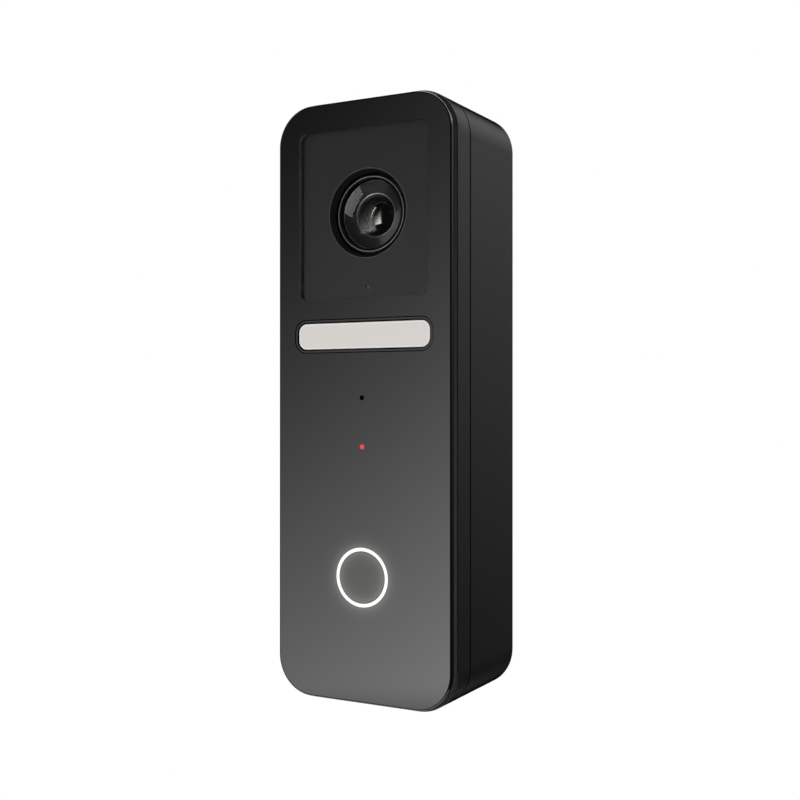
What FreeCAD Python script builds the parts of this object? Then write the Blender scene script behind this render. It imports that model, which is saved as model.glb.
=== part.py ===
import FreeCAD, Part
import os
from math import sqrt

# Wall-mounted video doorbell.  Millimetres.  +Z is up, the glass face looks along -Y and the wall
# is the plane y = 0.  The origin is the centre of the wall plate's back.

# ---- Driving sizes ------------------------------------------------------------------------------
WIDTH = 40.0                # housing, side to side
HEIGHT = 119.0              # housing, bottom to top
RIM_GAP = 0.4               # rear rim to the wall
CORNER_R = 8.2              # housing corners, seen from the front

GLUED = 0.05                # gap round a piece that is glued or pressed in
LOOSE = 0.1                 # gap between pieces that are laid together
RUNNING = 0.08              # radial clearance of the button in its ring

# Front glass and what holds it
GLASS_T = 1.1
GLASS_INSET = 0.5
GLASS_EDGE_R = 0.35
ADHESIVE_T = 0.2
LAND_INSET = 1.4            # glued land under the glass, in from the housing's outline
SHADOW_GAP = 0.6            # open groove behind the glass's edge
FRAME_WALL = 1.8            # skirt of the front frame
FRAME_FRONT_T = 0.8
SEAM_DEPTH = 7.0            # glass face to the seam between the two housing halves
SEAM_W = 0.35
SEAM_GROOVE = 0.5

# Rear housing
REAR_WALL = 2.0
BOTTOM_WALL = 3.0           # wall below the mounting recess, thicker for the lock screw
SPIGOT_T = 1.15             # lip that enters the front frame
SPIGOT_L = 1.6
RECESS_DEPTH = 5.6          # room for the wall plate behind the partition
PARTITION_T = 1.4
RIM_EDGE_R = 0.5

# Camera: places along the axis are depths behind the glass face
LENS_FROM_TOP = 22.5        # lens axis below the top of the housing
WINDOW_W = 30.6             # opening behind the glass
WINDOW_H = 34.4
WINDOW_LENS_OFFSET = 0.2    # window centre below the lens axis
WINDOW_R = 2.2
CARRIER_T = 1.0
CARRIER_LAP = 1.3           # how far the carrier laps the frame round the window
LENS_HOLE_R = 8.9
TRIM_R = 8.1                # bore of the trim ring
TRIM_FLANGE = 1.1
BARREL_R = 7.9
BARREL_FRONT = 3.5
BARREL_STEP = 7.6           # the barrel narrows here to its threaded tail
TAIL_R = 6.5
BARREL_REAR = 12.4
DOME_R = 7.2
DOME_RIM = 0.3              # flat rim round the dome
DOME_RISE = 2.1
DOME_HOLLOW_R = 5.0
DOME_HOLLOW_BALL_R = 6.6
DOME_EDGE_DEPTH = 3.75
DOME_BACK = 5.0
STOP_R = 4.3                # aperture behind the dome
STOP_FRONT = 5.3
STOP_REAR = 5.7
SECOND_LENS_R = 4.95
SECOND_LENS_FRONT = 7.2
SECOND_LENS_REAR = 8.8
SECOND_LENS_BULGE = 0.7
SECOND_SEAT = 9.8
REAR_LENS_R = 3.35
REAR_LENS_FRONT = 10.3
REAR_LENS_REAR = 11.2
REAR_LENS_BULGE = 0.4
HOLDER_W = 17.0
HOLDER_FRONT = 8.6
FILTER_W = 7.2
FILTER_DEPTH = 12.95
FILTER_T = 0.3
SENSOR_W = 7.2
SENSOR_T = 0.9
SENSOR_HOLE_DROP = 14.5     # ambient light hole below the lens axis
SENSOR_HOLE_R = 0.4
SENSOR_PIPE_R = 0.7
LIGHT_SENSOR_W = 2.0
LIGHT_SENSOR_T = 0.8

# Night light bar
BAR_FROM_TOP = 46.65
BAR_W = 31.28
BAR_H = 6.74
BAR_R = 2.6
BAR_RING = 0.72             # dark ring round the lit part
BAR_FLANGE = 0.9
RING_SUNK = 0.12            # ring and diffuser, below the glass face
DIFFUSER_SUNK = 0.25
RING_REAR = 4.0
DIFFUSER_REAR = 4.6
LAMP_W = 2.8
LAMP_T = 0.9
LAMPS = 6
LAMP_PITCH = 4.8

# Button
BUTTON_FROM_BOTTOM = 25.05
CAP_R = 5.05
CAP_SUNK = 0.06
CAP_REAR = 2.4
LIGHT_RING_T = 0.74
LIGHT_RING_REAR = 5.4
FLANGE_T = 0.8              # flanges behind the frame's front wall
PRESS_TRAVEL = 0.4
STEM_R = 1.6
STEM_REAR = 4.1
SEAL_T = 0.4
SWITCH_W = 5.2
SWITCH_FRONT = 4.6
PLUNGER_R = 1.0
RING_LAMPS = 8

# Microphone and status light, as shares of the way from the button up to the night light
MIC_PLACE = 0.742
STATUS_PLACE = 0.539
MIC_HOLE_R = 0.5
MIC_T = 1.0
STATUS_R = 0.5
STATUS_LED_T = 0.8

# Boards
BOARD_T = 1.0
BUTTON_BOARD_W = 26.0
BUTTON_BOARD_DEPTH = 6.2    # glass face to the front of each board
LIGHT_BOARD_DEPTH = 6.6
CAMERA_BOARD_DEPTH = 14.4
CAMERA_BOARD_W = 28.6
CAMERA_BOARD_H = 25.0
MAIN_BOARD_T = 1.2
BOARD_SPACING = 1.6         # camera board's back to the main board
REAR_ROOM = 2.8             # behind the main board, for the parts on its back
BOARD_SIDE_GAP = 1.2        # main board's edge to the spigot
SHIELD_T = 2.0
PAD_T = 0.8
SPREADER_T = 1.0
CHIP_Z = 2.0                # middle of the main chip, its can, pad and heat spreader
CAPACITOR_R = 3.2
CAPACITOR_L = 8.6
CABLE_T = 0.25

# Loudspeaker
SPEAKER_W = 21.6
SPEAKER_H = 7.6
SPEAKER_FRONT = 8.2
SPEAKER_WALL = 1.0
CONTACT_L = 1.0
GASKET_T = 2.1
MESH_T = 0.2
SLOT_W = 1.2
SLOT_PITCH = 2.6
SLOTS = 7

# Fastenings
POST_R = 2.2
POST_IN = 5.8               # housing screws, in from the side walls' outside
POST_END_IN = 7.5           # housing screws, in from the housing's ends
HOUSING_SCREW_R = 1.0
HOUSING_SCREW_L = 9.0
BOARD_SCREW_R = 0.7
BOARD_POST_R = 1.7

# Wall plate
PLATE_T = 3.0
PLATE_SIDE_GAP = 0.5
LIFT_TRAVEL = 5.0           # the doorbell slides up this far to come off
LEDGE_T = 1.2
LEDGE_W = 1.1
TAB_L = 4.0
WALL_SCREW_R = 2.1
WALL_SCREW_SINK_R = 4.0
WALL_SCREW_OVER_BLOCK = 7.2  # lower wall screw above the lock screw's block
WIRE_OPENING_W = 24.0
WIRE_OPENING_H = 24.0
WIRE_OPENING_Z = -15.0

# Terminals
TERMINAL_Z = -14.0
TERMINAL_X = 5.2            # each terminal, off the middle
TERMINAL_BLOCK_W = 19.0
TERMINAL_BLOCK_H = 11.0
TERMINAL_PLATE_W = 7.0
TERMINAL_PLATE_H = 8.6
TERMINAL_PLATE_T = 0.7
CLAMP_W = 6.2
CLAMP_T = 0.6
CLAMP_LIFT = 0.3            # clamp stands this far off its plate, on a bell wire
TERMINAL_SCREW_R = 1.5
TERMINAL_HEAD_R = 2.7
TERMINAL_HEAD_T = 1.4
TERMINAL_SCREW_L = 4.6

# Lock screw
LOCK_R = 1.2
LOCK_HEAD_R = 2.1
LOCK_TIP = 1.4              # how far its point stands in the wall plate
LOCK_HEAD_T = 0.78
LOCK_SUNK = 0.1             # head below the bottom of the housing
LOCK_WASHER_T = 0.3
LOCK_BLOCK_W = 9.0
LOCK_WALL = 1.1             # material round the lock screw's bore

# ---- Places worked out from the sizes -----------------------------------------------------------
MAIN_BOARD_DEPTH = CAMERA_BOARD_DEPTH + BOARD_T + BOARD_SPACING
MAIN_BACK = MAIN_BOARD_DEPTH + MAIN_BOARD_T
BODY_DEPTH = MAIN_BACK + REAR_ROOM + PARTITION_T + RECESS_DEPTH   # glass face to the housing's rear rim
FACE_Y = -(BODY_DEPTH + RIM_GAP)
RIM_Y = -RIM_GAP
PARTITION_REAR_Y = RIM_Y - RECESS_DEPTH
PARTITION_FRONT_Y = PARTITION_REAR_Y - PARTITION_T
TOP = HEIGHT / 2
BOTTOM = -HEIGHT / 2
LENS_Z = TOP - LENS_FROM_TOP
WINDOW_Z = LENS_Z - WINDOW_LENS_OFFSET
BAR_Z = TOP - BAR_FROM_TOP
BUTTON_Z = BOTTOM + BUTTON_FROM_BOTTOM
MIC_Z = BUTTON_Z + MIC_PLACE * (BAR_Z - BUTTON_Z)
STATUS_Z = BUTTON_Z + STATUS_PLACE * (BAR_Z - BUTTON_Z)
SENSOR_HOLE_Z = LENS_Z - SENSOR_HOLE_DROP
FRAME_FRONT = GLASS_T + ADHESIVE_T            # depth of the frame's land
FRAME_BACK = FRAME_FRONT + FRAME_FRONT_T      # depth of the front wall's rear face
BAND_FRONT = GLASS_T + SHADOW_GAP
HOUSING_FRONT = SEAM_DEPTH + SEAM_W
SPEAKER_REAR = MAIN_BOARD_DEPTH - CONTACT_L
SPIGOT_FRONT = SEAM_DEPTH - SPIGOT_L
SPIGOT_INSET = FRAME_WALL + GLUED
CAVITY_INSET = SPIGOT_INSET + SPIGOT_T
LIGHT_RING_R = CAP_R + RUNNING + LIGHT_RING_T
MAIN_W = WIDTH - 2 * (CAVITY_INSET + BOARD_SIDE_GAP)
POST_X = WIDTH / 2 - POST_IN
POST_Z = HEIGHT / 2 - POST_END_IN
MAIN_H = 2 * (POST_Z - POST_R - 0.5)
PLATE_W = WIDTH - 2 * (REAR_WALL + PLATE_SIDE_GAP)
PLATE_TOP = TOP - REAR_WALL - PLATE_SIDE_GAP
RECESS_BOTTOM = BOTTOM + BOTTOM_WALL
PLATE_BOTTOM = RECESS_BOTTOM + LIFT_TRAVEL + PLATE_SIDE_GAP
PLATE_FRONT_Y = -PLATE_T
TAB_STATIONS = (PLATE_TOP - 14.0, 6.0, PLATE_BOTTOM + 13.0)
LOCK_Y = -(LOCK_HEAD_R + 0.2 + 1.0)   # clear of the rim
LOCK_BLOCK_TOP = PLATE_BOTTOM + LIFT_TRAVEL + LOCK_TIP + 1.4
WALL_SCREW_Z = -(LOCK_BLOCK_TOP + WALL_SCREW_OVER_BLOCK)


# ---- Shapes used by several pieces --------------------------------------------------------------
def at(depth):
    """The y of a plane that lies this far behind the glass face."""
    return FACE_Y + depth


def block(x_low, x_high, y_low, y_high, z_low, z_high):
    """A box between its low and high corners."""
    corner = FreeCAD.Vector(x_low, y_low, z_low)
    return Part.makeBox(x_high - x_low, y_high - y_low, z_high - z_low, corner)


def rod(radius, y_front, y_rear, x=0.0, z=0.0):
    """A cylinder along Y."""
    start = FreeCAD.Vector(x, y_front, z)
    return Part.makeCylinder(radius, y_rear - y_front, start, FreeCAD.Vector(0, 1, 0))


def tube(outer, inner, y_front, y_rear, x=0.0, z=0.0):
    """A pipe along Y."""
    return rod(outer, y_front, y_rear, x, z).cut(rod(inner, y_front - 1, y_rear + 1, x, z))


def slab(width, height, radius, y_front, y_rear, x=0.0, z=0.0):
    """A plate with rounded corners, flat to the wall, centred at x and z."""
    w = width / 2 - radius
    h = height / 2 - radius
    k = radius / sqrt(2)

    def point(px, pz):
        return FreeCAD.Vector(x + px, y_front, z + pz)

    edges = []
    for sx, sz in ((1, 1), (-1, 1), (-1, -1), (1, -1)):
        start = point(sx * (w + radius), sz * h)
        middle = point(sx * (w + k), sz * (h + k))
        end = point(sx * w, sz * (h + radius))
        if sx * sz < 0:
            start, end = end, start
        edges.append(Part.Arc(start, middle, end).toShape())
    sides = []
    for index, edge in enumerate(edges):
        sides.append(edge)
        following = edges[(index + 1) % 4]
        sides.append(Part.makeLine(edge.lastVertex().Point, following.firstVertex().Point))
    face = Part.Face(Part.Wire(sides))
    return face.extrude(FreeCAD.Vector(0, y_rear - y_front, 0))


def housing_slab(inset, y_front, y_rear):
    """A plate of the housing's own outline, drawn in by an inset."""
    return slab(WIDTH - 2 * inset, HEIGHT - 2 * inset, CORNER_R - inset, y_front, y_rear)


def turned(profile, x=0.0, z=0.0):
    """A solid turned about an axis along Y.  The profile is a closed row of (radius, y) points;
    a triple of points (start, middle, end) in the row is an arc."""
    edges = []
    last = None
    first = None
    for item in profile:
        if len(item) == 3:
            a, b, c = (FreeCAD.Vector(x + r, y, z) for r, y in item)
            if last is not None and not last.isEqual(a, 1e-7):
                edges.append(Part.makeLine(last, a))
            edges.append(Part.Arc(a, b, c).toShape())
            first = first or a
            last = c
        else:
            here = FreeCAD.Vector(x + item[0], item[1], z)
            if last is not None:
                edges.append(Part.makeLine(last, here))
            first = first or here
            last = here
    edges.append(Part.makeLine(last, first))
    face = Part.Face(Part.Wire(edges))
    return face.revolve(FreeCAD.Vector(x, 0, z), FreeCAD.Vector(0, 1, 0), 360)


def rounded_edges(shape, radius, y):
    """The shape with the outer edge of its largest flat face in the plane y rounded."""
    in_plane = []
    for face in shape.Faces:
        box = face.BoundBox
        if abs(box.YMin - y) < 1e-4 and abs(box.YMax - y) < 1e-4:
            in_plane.append(face)
    largest = max(in_plane, key=lambda face: face.Area)
    return shape.makeFillet(radius, largest.OuterWire.Edges)


def ribbon(path, thickness, x_low, x_high):
    """A flat flexible cable: a strip along X that follows (y, z) points, rounded at its bends."""
    strip = None
    for (y0, z0), (y1, z1) in zip(path, path[1:]):
        length = sqrt((y1 - y0) ** 2 + (z1 - z0) ** 2)
        ny = -(z1 - z0) / length * thickness / 2
        nz = (y1 - y0) / length * thickness / 2
        corners = [(y0 + ny, z0 + nz), (y1 + ny, z1 + nz), (y1 - ny, z1 - nz), (y0 - ny, z0 - nz)]
        points = [FreeCAD.Vector(x_low, y, z) for y, z in corners]
        face = Part.Face(Part.makePolygon(points + points[:1]))
        piece = face.extrude(FreeCAD.Vector(x_high - x_low, 0, 0))
        strip = piece if strip is None else strip.fuse(piece)
    for y, z in path[1:-1]:
        start = FreeCAD.Vector(x_low, y, z)
        bend = Part.makeCylinder(thickness / 2, x_high - x_low, start, FreeCAD.Vector(1, 0, 0))
        strip = strip.fuse(bend)
    return strip.removeSplitter()


def both_sides(make):
    """The same shape made at the left and at the right."""
    return Part.makeCompound([make(-1), make(1)])


def screw(shank_r, head_r, head_t, length, y_seat, x, z, head_to_rear=True):
    """A pan-head screw along Y whose head bears on the plane y_seat, with a cross recess."""
    way = 1 if head_to_rear else -1
    y_top = y_seat + way * head_t
    y_tip = y_seat - way * length
    shank = rod(shank_r, min(y_seat, y_tip), max(y_seat, y_tip), x, z)
    head = rod(head_r, min(y_seat, y_top), max(y_seat, y_top), x, z)
    edges = [e for e in head.Edges if abs(e.BoundBox.YMin - y_top) < 1e-4 and len(e.Vertexes) == 1
             and abs(e.BoundBox.YMax - y_top) < 1e-4]
    head = head.makeFillet(head_t * 0.35, edges)
    slot = 0.13 * head_r
    arm = 0.62 * head_r
    deep = min(y_top, y_top - way * head_t * 0.55)
    far = max(y_top, y_top - way * head_t * 0.55)
    cross = block(x - arm, x + arm, deep, far, z - slot, z + slot)
    cross = cross.fuse(block(x - slot, x + slot, deep, far, z - arm, z + arm))
    return head.fuse(shank).cut(cross)


# ---- Glass face ---------------------------------------------------------------------------------
def front_glass():
    """Flat cover glass with rounded edges, drilled for the bar, button, microphone and status light."""
    glass = housing_slab(GLASS_INSET, at(0), at(GLASS_T))
    glass = rounded_edges(glass, GLASS_EDGE_R, at(0))
    glass = glass.cut(slab(BAR_W, BAR_H, BAR_R, at(-1), at(GLASS_T + 1), 0, BAR_Z))
    glass = glass.cut(rod(LIGHT_RING_R + GLUED, at(-1), at(GLASS_T + 1), 0, BUTTON_Z))
    glass = glass.cut(rod(MIC_HOLE_R, at(-1), at(GLASS_T + 1), 0, MIC_Z))
    return glass.cut(rod(STATUS_R + GLUED, at(-1), at(GLASS_T + 1), 0, STATUS_Z))


def glass_adhesive():
    """Die-cut black adhesive sheet that bonds the glass to the frame's land."""
    sheet = housing_slab(LAND_INSET, at(GLASS_T), at(FRAME_FRONT))
    sheet = sheet.cut(slab(WINDOW_W + 0.4, WINDOW_H + 0.4, WINDOW_R, at(0), at(3), 0, WINDOW_Z))
    sheet = sheet.cut(slab(BAR_W + 0.6, BAR_H + 0.6, BAR_R, at(0), at(3), 0, BAR_Z))
    sheet = sheet.cut(rod(LIGHT_RING_R + 0.4, at(0), at(3), 0, BUTTON_Z))
    sheet = sheet.cut(rod(MIC_HOLE_R + 0.3, at(0), at(3), 0, MIC_Z))
    return sheet.cut(rod(STATUS_R + 0.3, at(0), at(3), 0, STATUS_Z))


# ---- Housing ------------------------------------------------------------------------------------
def post_places():
    """Centres of the four housing screws."""
    return [(sx * POST_X, sz * POST_Z) for sx in (-1, 1) for sz in (-1, 1)]


def board_post_places():
    """Centres of the four posts that carry the button board."""
    low = BUTTON_Z - 9.5
    high = MIC_Z - 3.4
    return [(sx * 10.6, z) for sx in (-1, 1) for z in (low, high)]


def front_frame():
    """Moulded front half: land for the glass, skirt, screw posts and posts for the button board."""
    frame = housing_slab(LAND_INSET, at(FRAME_FRONT), at(FRAME_BACK + 1))
    frame = frame.fuse(housing_slab(0, at(BAND_FRONT), at(SEAM_DEPTH)))
    frame = frame.fuse(housing_slab(SEAM_GROOVE, at(SEAM_DEPTH - 1), at(HOUSING_FRONT)))
    frame = frame.removeSplitter()
    frame = rounded_edges(frame, 0.15, at(BAND_FRONT))
    frame = frame.cut(housing_slab(FRAME_WALL, at(FRAME_BACK), at(HOUSING_FRONT + 1)))
    frame = frame.cut(slab(WINDOW_W, WINDOW_H, WINDOW_R, at(0), at(5), 0, WINDOW_Z))
    frame = frame.cut(slab(BAR_W, BAR_H, BAR_R, at(0), at(5), 0, BAR_Z))
    frame = frame.cut(rod(LIGHT_RING_R + GLUED, at(0), at(5), 0, BUTTON_Z))
    frame = frame.cut(rod(MIC_HOLE_R + 0.1, at(0), at(5), 0, MIC_Z))
    frame = frame.cut(rod(STATUS_R + GLUED, at(0), at(5), 0, STATUS_Z))
    web_front = at(FRAME_BACK + CARRIER_T + LOOSE)
    web_rear = at(SPIGOT_FRONT - LOOSE)
    for x, z in post_places():
        start = web_front if z > 0 else at(FRAME_BACK - 0.1)
        frame = frame.fuse(rod(POST_R, start, PARTITION_FRONT_Y, x, z))
        side = WIDTH / 2 - FRAME_WALL + 0.2
        x_low, x_high = (x, side) if x > 0 else (-side, x)
        frame = frame.fuse(block(x_low, x_high, web_front, web_rear, z - 1.2, z + 1.2))
        bore = rod(HOUSING_SCREW_R + 0.02, PARTITION_FRONT_Y - HOUSING_SCREW_L, PARTITION_FRONT_Y + 1, x, z)
        frame = frame.cut(bore)
    for x, z in board_post_places():
        frame = frame.fuse(rod(BOARD_POST_R, at(FRAME_BACK - 0.1), at(BUTTON_BOARD_DEPTH), x, z))
        hole = rod(BOARD_SCREW_R + 0.02, at(BUTTON_BOARD_DEPTH - 3), at(BUTTON_BOARD_DEPTH + 1), x, z)
        frame = frame.cut(hole)
    return frame.removeSplitter()


def housing_seal():
    """Silicone cord in the spigot's groove."""
    outer = housing_slab(FRAME_WALL + GLUED, at(SEAM_DEPTH - 1.0), at(SEAM_DEPTH - 0.3))
    return outer.cut(housing_slab(SPIGOT_INSET + 0.5, at(0), at(SEAM_DEPTH + 1)))


def terminal_hole(grow):
    """The block of space that the terminal block fills, with a gap round it."""
    half_w = TERMINAL_BLOCK_W / 2 + grow
    half_h = TERMINAL_BLOCK_H / 2 + grow
    return -half_w, half_w, TERMINAL_Z - half_h, TERMINAL_Z + half_h


def rear_housing():
    """Moulded rear half: walls, partition, mounting recess with its tabs, and the bosses."""
    shell = housing_slab(0, at(HOUSING_FRONT), RIM_Y)
    shell = rounded_edges(shell, RIM_EDGE_R, RIM_Y)
    shell = rounded_edges(shell, 0.12, at(HOUSING_FRONT))
    spigot = housing_slab(SPIGOT_INSET, at(SPIGOT_FRONT), at(HOUSING_FRONT + 1))
    groove = housing_slab(0, at(SEAM_DEPTH - 1.05), at(SEAM_DEPTH - 0.25))
    groove = groove.cut(housing_slab(SPIGOT_INSET + 0.5, at(0), at(SEAM_DEPTH + 1)))
    shell = shell.fuse(spigot.cut(groove))
    shell = shell.cut(housing_slab(CAVITY_INSET, at(0), at(HOUSING_FRONT + 1)))
    shell = shell.cut(housing_slab(REAR_WALL, at(HOUSING_FRONT + 0.5), PARTITION_FRONT_Y))
    recess = housing_slab(REAR_WALL, PARTITION_REAR_Y, 1)
    recess = recess.cut(block(-WIDTH, WIDTH, -WIDTH, WIDTH, BOTTOM - 1, RECESS_BOTTOM))
    shell = shell.cut(recess)
    for x, z in post_places():
        shell = shell.cut(rod(HOUSING_SCREW_R + 0.2, PARTITION_FRONT_Y - 1, PARTITION_REAR_Y + 1, x, z))
    x_low, x_high, z_low, z_high = terminal_hole(LOOSE)
    shell = shell.cut(block(x_low, x_high, PARTITION_FRONT_Y - 1, PARTITION_REAR_Y + 1, z_low, z_high))
    for x, z in main_screw_places():
        shell = shell.fuse(rod(1.8, at(MAIN_BACK), PARTITION_FRONT_Y + 0.1, x, z))
        shell = shell.cut(rod(BOARD_SCREW_R + 0.02, at(MAIN_BACK) - 1, at(MAIN_BACK) + 2.6, x, z))
    for z in TAB_STATIONS:
        for side in (-1, 1):
            outer = side * (WIDTH / 2 - REAR_WALL + 0.2)
            inner = side * (PLATE_W / 2 - LEDGE_W + 0.35)
            shell = shell.fuse(block(min(outer, inner), max(outer, inner), PLATE_FRONT_Y + LEDGE_T + 0.15,
                                     RIM_Y - 0.2, z - TAB_L / 2, z + TAB_L / 2))
    shell = shell.cut(grille_slots())
    sink_h = LOCK_SUNK + LOCK_HEAD_T + LOCK_WASHER_T + 0.02
    sink = Part.makeCylinder(LOCK_HEAD_R + 0.2, sink_h + 1, FreeCAD.Vector(0, LOCK_Y, BOTTOM - 1))
    shell = shell.cut(sink)
    hole = Part.makeCylinder(LOCK_R + 0.03, BOTTOM_WALL + 1, FreeCAD.Vector(0, LOCK_Y, BOTTOM - 0.5))
    return shell.cut(hole).removeSplitter()


def grille_slots():
    """Sound slots through the bottom wall."""
    slots = []
    for index in range(SLOTS):
        x = (index - (SLOTS - 1) / 2) * SLOT_PITCH
        slots.append(block(x - SLOT_W / 2, x + SLOT_W / 2, at(SPEAKER_FRONT + 1.4), at(SPEAKER_REAR - 1.4),
                           BOTTOM - 1, BOTTOM + REAR_WALL + 0.5))
    return Part.makeCompound(slots)


def housing_screws():
    """Four screws from the recess through the partition into the frame's posts."""
    screws = []
    for x, z in post_places():
        length = HOUSING_SCREW_L + PARTITION_T - 0.5
        screws.append(screw(HOUSING_SCREW_R, 1.9, 1.3, length, PARTITION_REAR_Y, x, z))
    return Part.makeCompound(screws)


def back_label():
    """Bare sticker on the partition, left blank."""
    return slab(22, 22, 1.5, PARTITION_REAR_Y, PARTITION_REAR_Y + 0.15, 0, 22)


# ---- Camera -------------------------------------------------------------------------------------
def carrier_posts():
    """Centres of the four posts that carry the camera board."""
    return [(sx * 12.2, LENS_Z + sz * 10.4) for sx in (-1, 1) for sz in (-1, 1)]


def camera_carrier():
    """Black panel seen behind the window, with the lens hole, the light sensor's well and four posts."""
    front = at(FRAME_BACK)
    rear = at(FRAME_BACK + CARRIER_T)
    well_rear = at(LIGHT_BOARD_DEPTH - LIGHT_SENSOR_T - 0.2)
    lap = 2 * CARRIER_LAP
    panel = slab(WINDOW_W + lap, WINDOW_H + lap, WINDOW_R + 1, front, rear, 0, WINDOW_Z)
    panel = panel.cut(rod(LENS_HOLE_R, front - 1, rear + 1, 0, LENS_Z))
    panel = panel.fuse(rod(SENSOR_PIPE_R + 0.7, rear - 0.1, well_rear, 0, SENSOR_HOLE_Z))
    panel = panel.cut(rod(SENSOR_HOLE_R, front - 1, front + 0.6, 0, SENSOR_HOLE_Z))
    panel = panel.cut(rod(SENSOR_PIPE_R + GLUED, front + 0.5, well_rear + 1, 0, SENSOR_HOLE_Z))
    for x, z in carrier_posts():
        panel = panel.fuse(rod(BOARD_POST_R, rear - 0.1, at(CAMERA_BOARD_DEPTH), x, z))
        hole = rod(BOARD_SCREW_R + 0.02, at(CAMERA_BOARD_DEPTH - 4), at(CAMERA_BOARD_DEPTH + 1), x, z)
        panel = panel.cut(hole)
    return panel.removeSplitter()


def lens_trim_ring():
    """Gloss ring round the lens, seated behind the carrier."""
    front = at(FRAME_BACK + 0.35)
    back = at(FRAME_BACK + CARRIER_T)
    outer = LENS_HOLE_R - GLUED
    flange = outer + TRIM_FLANGE
    return turned([(TRIM_R + 0.45, front), (outer, front + 0.35), (outer, back + 0.02), (flange, back + 0.02),
                   (flange, back + 0.7), (TRIM_R, back + 0.7), (TRIM_R, front + 0.5)], 0, LENS_Z)


def lens_barrel():
    """Stepped barrel that holds the glass elements and screws into the lens holder."""
    y0 = at(BARREL_FRONT)
    dome_seat = DOME_R + GLUED
    second_bore = SECOND_LENS_R + GLUED
    rear_bore = REAR_LENS_R + GLUED
    back_hole = REAR_LENS_R - 0.5
    return turned([
        (dome_seat, y0 + 0.15), (dome_seat + 0.15, y0), (BARREL_R - 0.2, y0), (BARREL_R, y0 + 0.2),
        (BARREL_R, at(BARREL_STEP)), (TAIL_R, at(BARREL_STEP + 0.8)), (TAIL_R, at(BARREL_REAR)),
        (back_hole, at(BARREL_REAR)), (back_hole, at(BARREL_REAR - 0.5)), (rear_bore, at(BARREL_REAR - 0.5)),
        (rear_bore, at(SECOND_SEAT)), (second_bore, at(SECOND_SEAT)), (second_bore, at(STOP_REAR + 0.5)),
        (STOP_R, at(STOP_REAR)), (STOP_R, at(STOP_FRONT)), (DOME_HOLLOW_R + 0.6, at(DOME_BACK + GLUED)),
        (dome_seat, at(DOME_BACK + GLUED))], 0, LENS_Z)


def ball_drop(ball_r, radius):
    """How far a ball's surface drops from its crown out to a radius."""
    return ball_r - sqrt(ball_r ** 2 - radius ** 2)


def ball_r_of(radius, rise):
    """Radius of the ball whose cap has this radius and rise."""
    return (radius ** 2 + rise ** 2) / (2 * rise)


def front_lens():
    """Wide-angle dome: a strongly curved meniscus with a flat rim."""
    edge = DOME_R - DOME_RIM
    rim_y = at(DOME_EDGE_DEPTH)
    crown = rim_y - DOME_RISE
    mid = crown + ball_drop(ball_r_of(edge, DOME_RISE), edge / 2)
    back = at(DOME_BACK)
    hollow = back - ball_drop(DOME_HOLLOW_BALL_R, DOME_HOLLOW_R)
    hollow_mid = hollow + ball_drop(DOME_HOLLOW_BALL_R, DOME_HOLLOW_R / 2)
    return turned([((0, crown), (edge / 2, mid), (edge, rim_y)), (DOME_R, rim_y), (DOME_R, back),
                   ((DOME_HOLLOW_R, back), (DOME_HOLLOW_R / 2, hollow_mid), (0, hollow))], 0, LENS_Z)


def convex_lens(radius, bulge, y_front, y_rear):
    """A lens that bulges on both faces, between the planes of its rim."""
    rim = radius - 0.4
    mid = ball_drop(ball_r_of(rim, bulge), rim / 2)
    return turned([((0, y_front - bulge), (rim / 2, y_front - bulge + mid), (rim, y_front)), (radius, y_front),
                   (radius, y_rear), ((rim, y_rear), (rim / 2, y_rear + bulge - mid), (0, y_rear + bulge))],
                  0, LENS_Z)


def second_lens():
    """Middle element."""
    return convex_lens(SECOND_LENS_R, SECOND_LENS_BULGE, at(SECOND_LENS_FRONT), at(SECOND_LENS_REAR))


def rear_lens():
    """Rear element."""
    return convex_lens(REAR_LENS_R, REAR_LENS_BULGE, at(REAR_LENS_FRONT), at(REAR_LENS_REAR))


def lens_holder():
    """Square holder glued to the camera board round the image sensor."""
    rear = at(CAMERA_BOARD_DEPTH)
    room = SENSOR_W / 2 + 0.8
    body = slab(HOLDER_W, HOLDER_W, 1.0, at(HOLDER_FRONT), rear, 0, LENS_Z)
    body = body.cut(rod(TAIL_R + GLUED, at(0), at(BARREL_REAR + GLUED), 0, LENS_Z))
    body = body.cut(rod(REAR_LENS_R - 0.45, at(0), rear, 0, LENS_Z))
    return body.cut(block(-room, room, at(FILTER_DEPTH), rear + 1, LENS_Z - room, LENS_Z + room))


def infrared_filter():
    """Square filter glass in front of the sensor."""
    half = FILTER_W / 2
    return block(-half, half, at(FILTER_DEPTH), at(FILTER_DEPTH + FILTER_T), LENS_Z - half, LENS_Z + half)


def image_sensor():
    """Sensor package on the camera board."""
    half = SENSOR_W / 2
    rear = at(CAMERA_BOARD_DEPTH)
    return block(-half, half, rear - SENSOR_T, rear, LENS_Z - half, LENS_Z + half)


def camera_board():
    """Board behind the lens."""
    front = at(CAMERA_BOARD_DEPTH)
    board = slab(CAMERA_BOARD_W, CAMERA_BOARD_H, 1.5, front, front + BOARD_T, 0, LENS_Z)
    for x, z in carrier_posts():
        board = board.cut(rod(BOARD_SCREW_R + 0.1, at(0), 0, x, z))
    return board


# ---- Light sensor and night light ---------------------------------------------------------------
def sensor_light_pipe():
    """Clear rod that leads daylight to the sensor."""
    rear = at(LIGHT_BOARD_DEPTH - LIGHT_SENSOR_T - 0.1)
    return rod(SENSOR_PIPE_R, at(FRAME_BACK + 0.62), rear, 0, SENSOR_HOLE_Z)


def light_sensor():
    """Ambient light sensor on the night light's board."""
    half = LIGHT_SENSOR_W / 2
    rear = at(LIGHT_BOARD_DEPTH)
    return block(-half, half, rear - LIGHT_SENSOR_T, rear, SENSOR_HOLE_Z - half, SENSOR_HOLE_Z + half)


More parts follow.
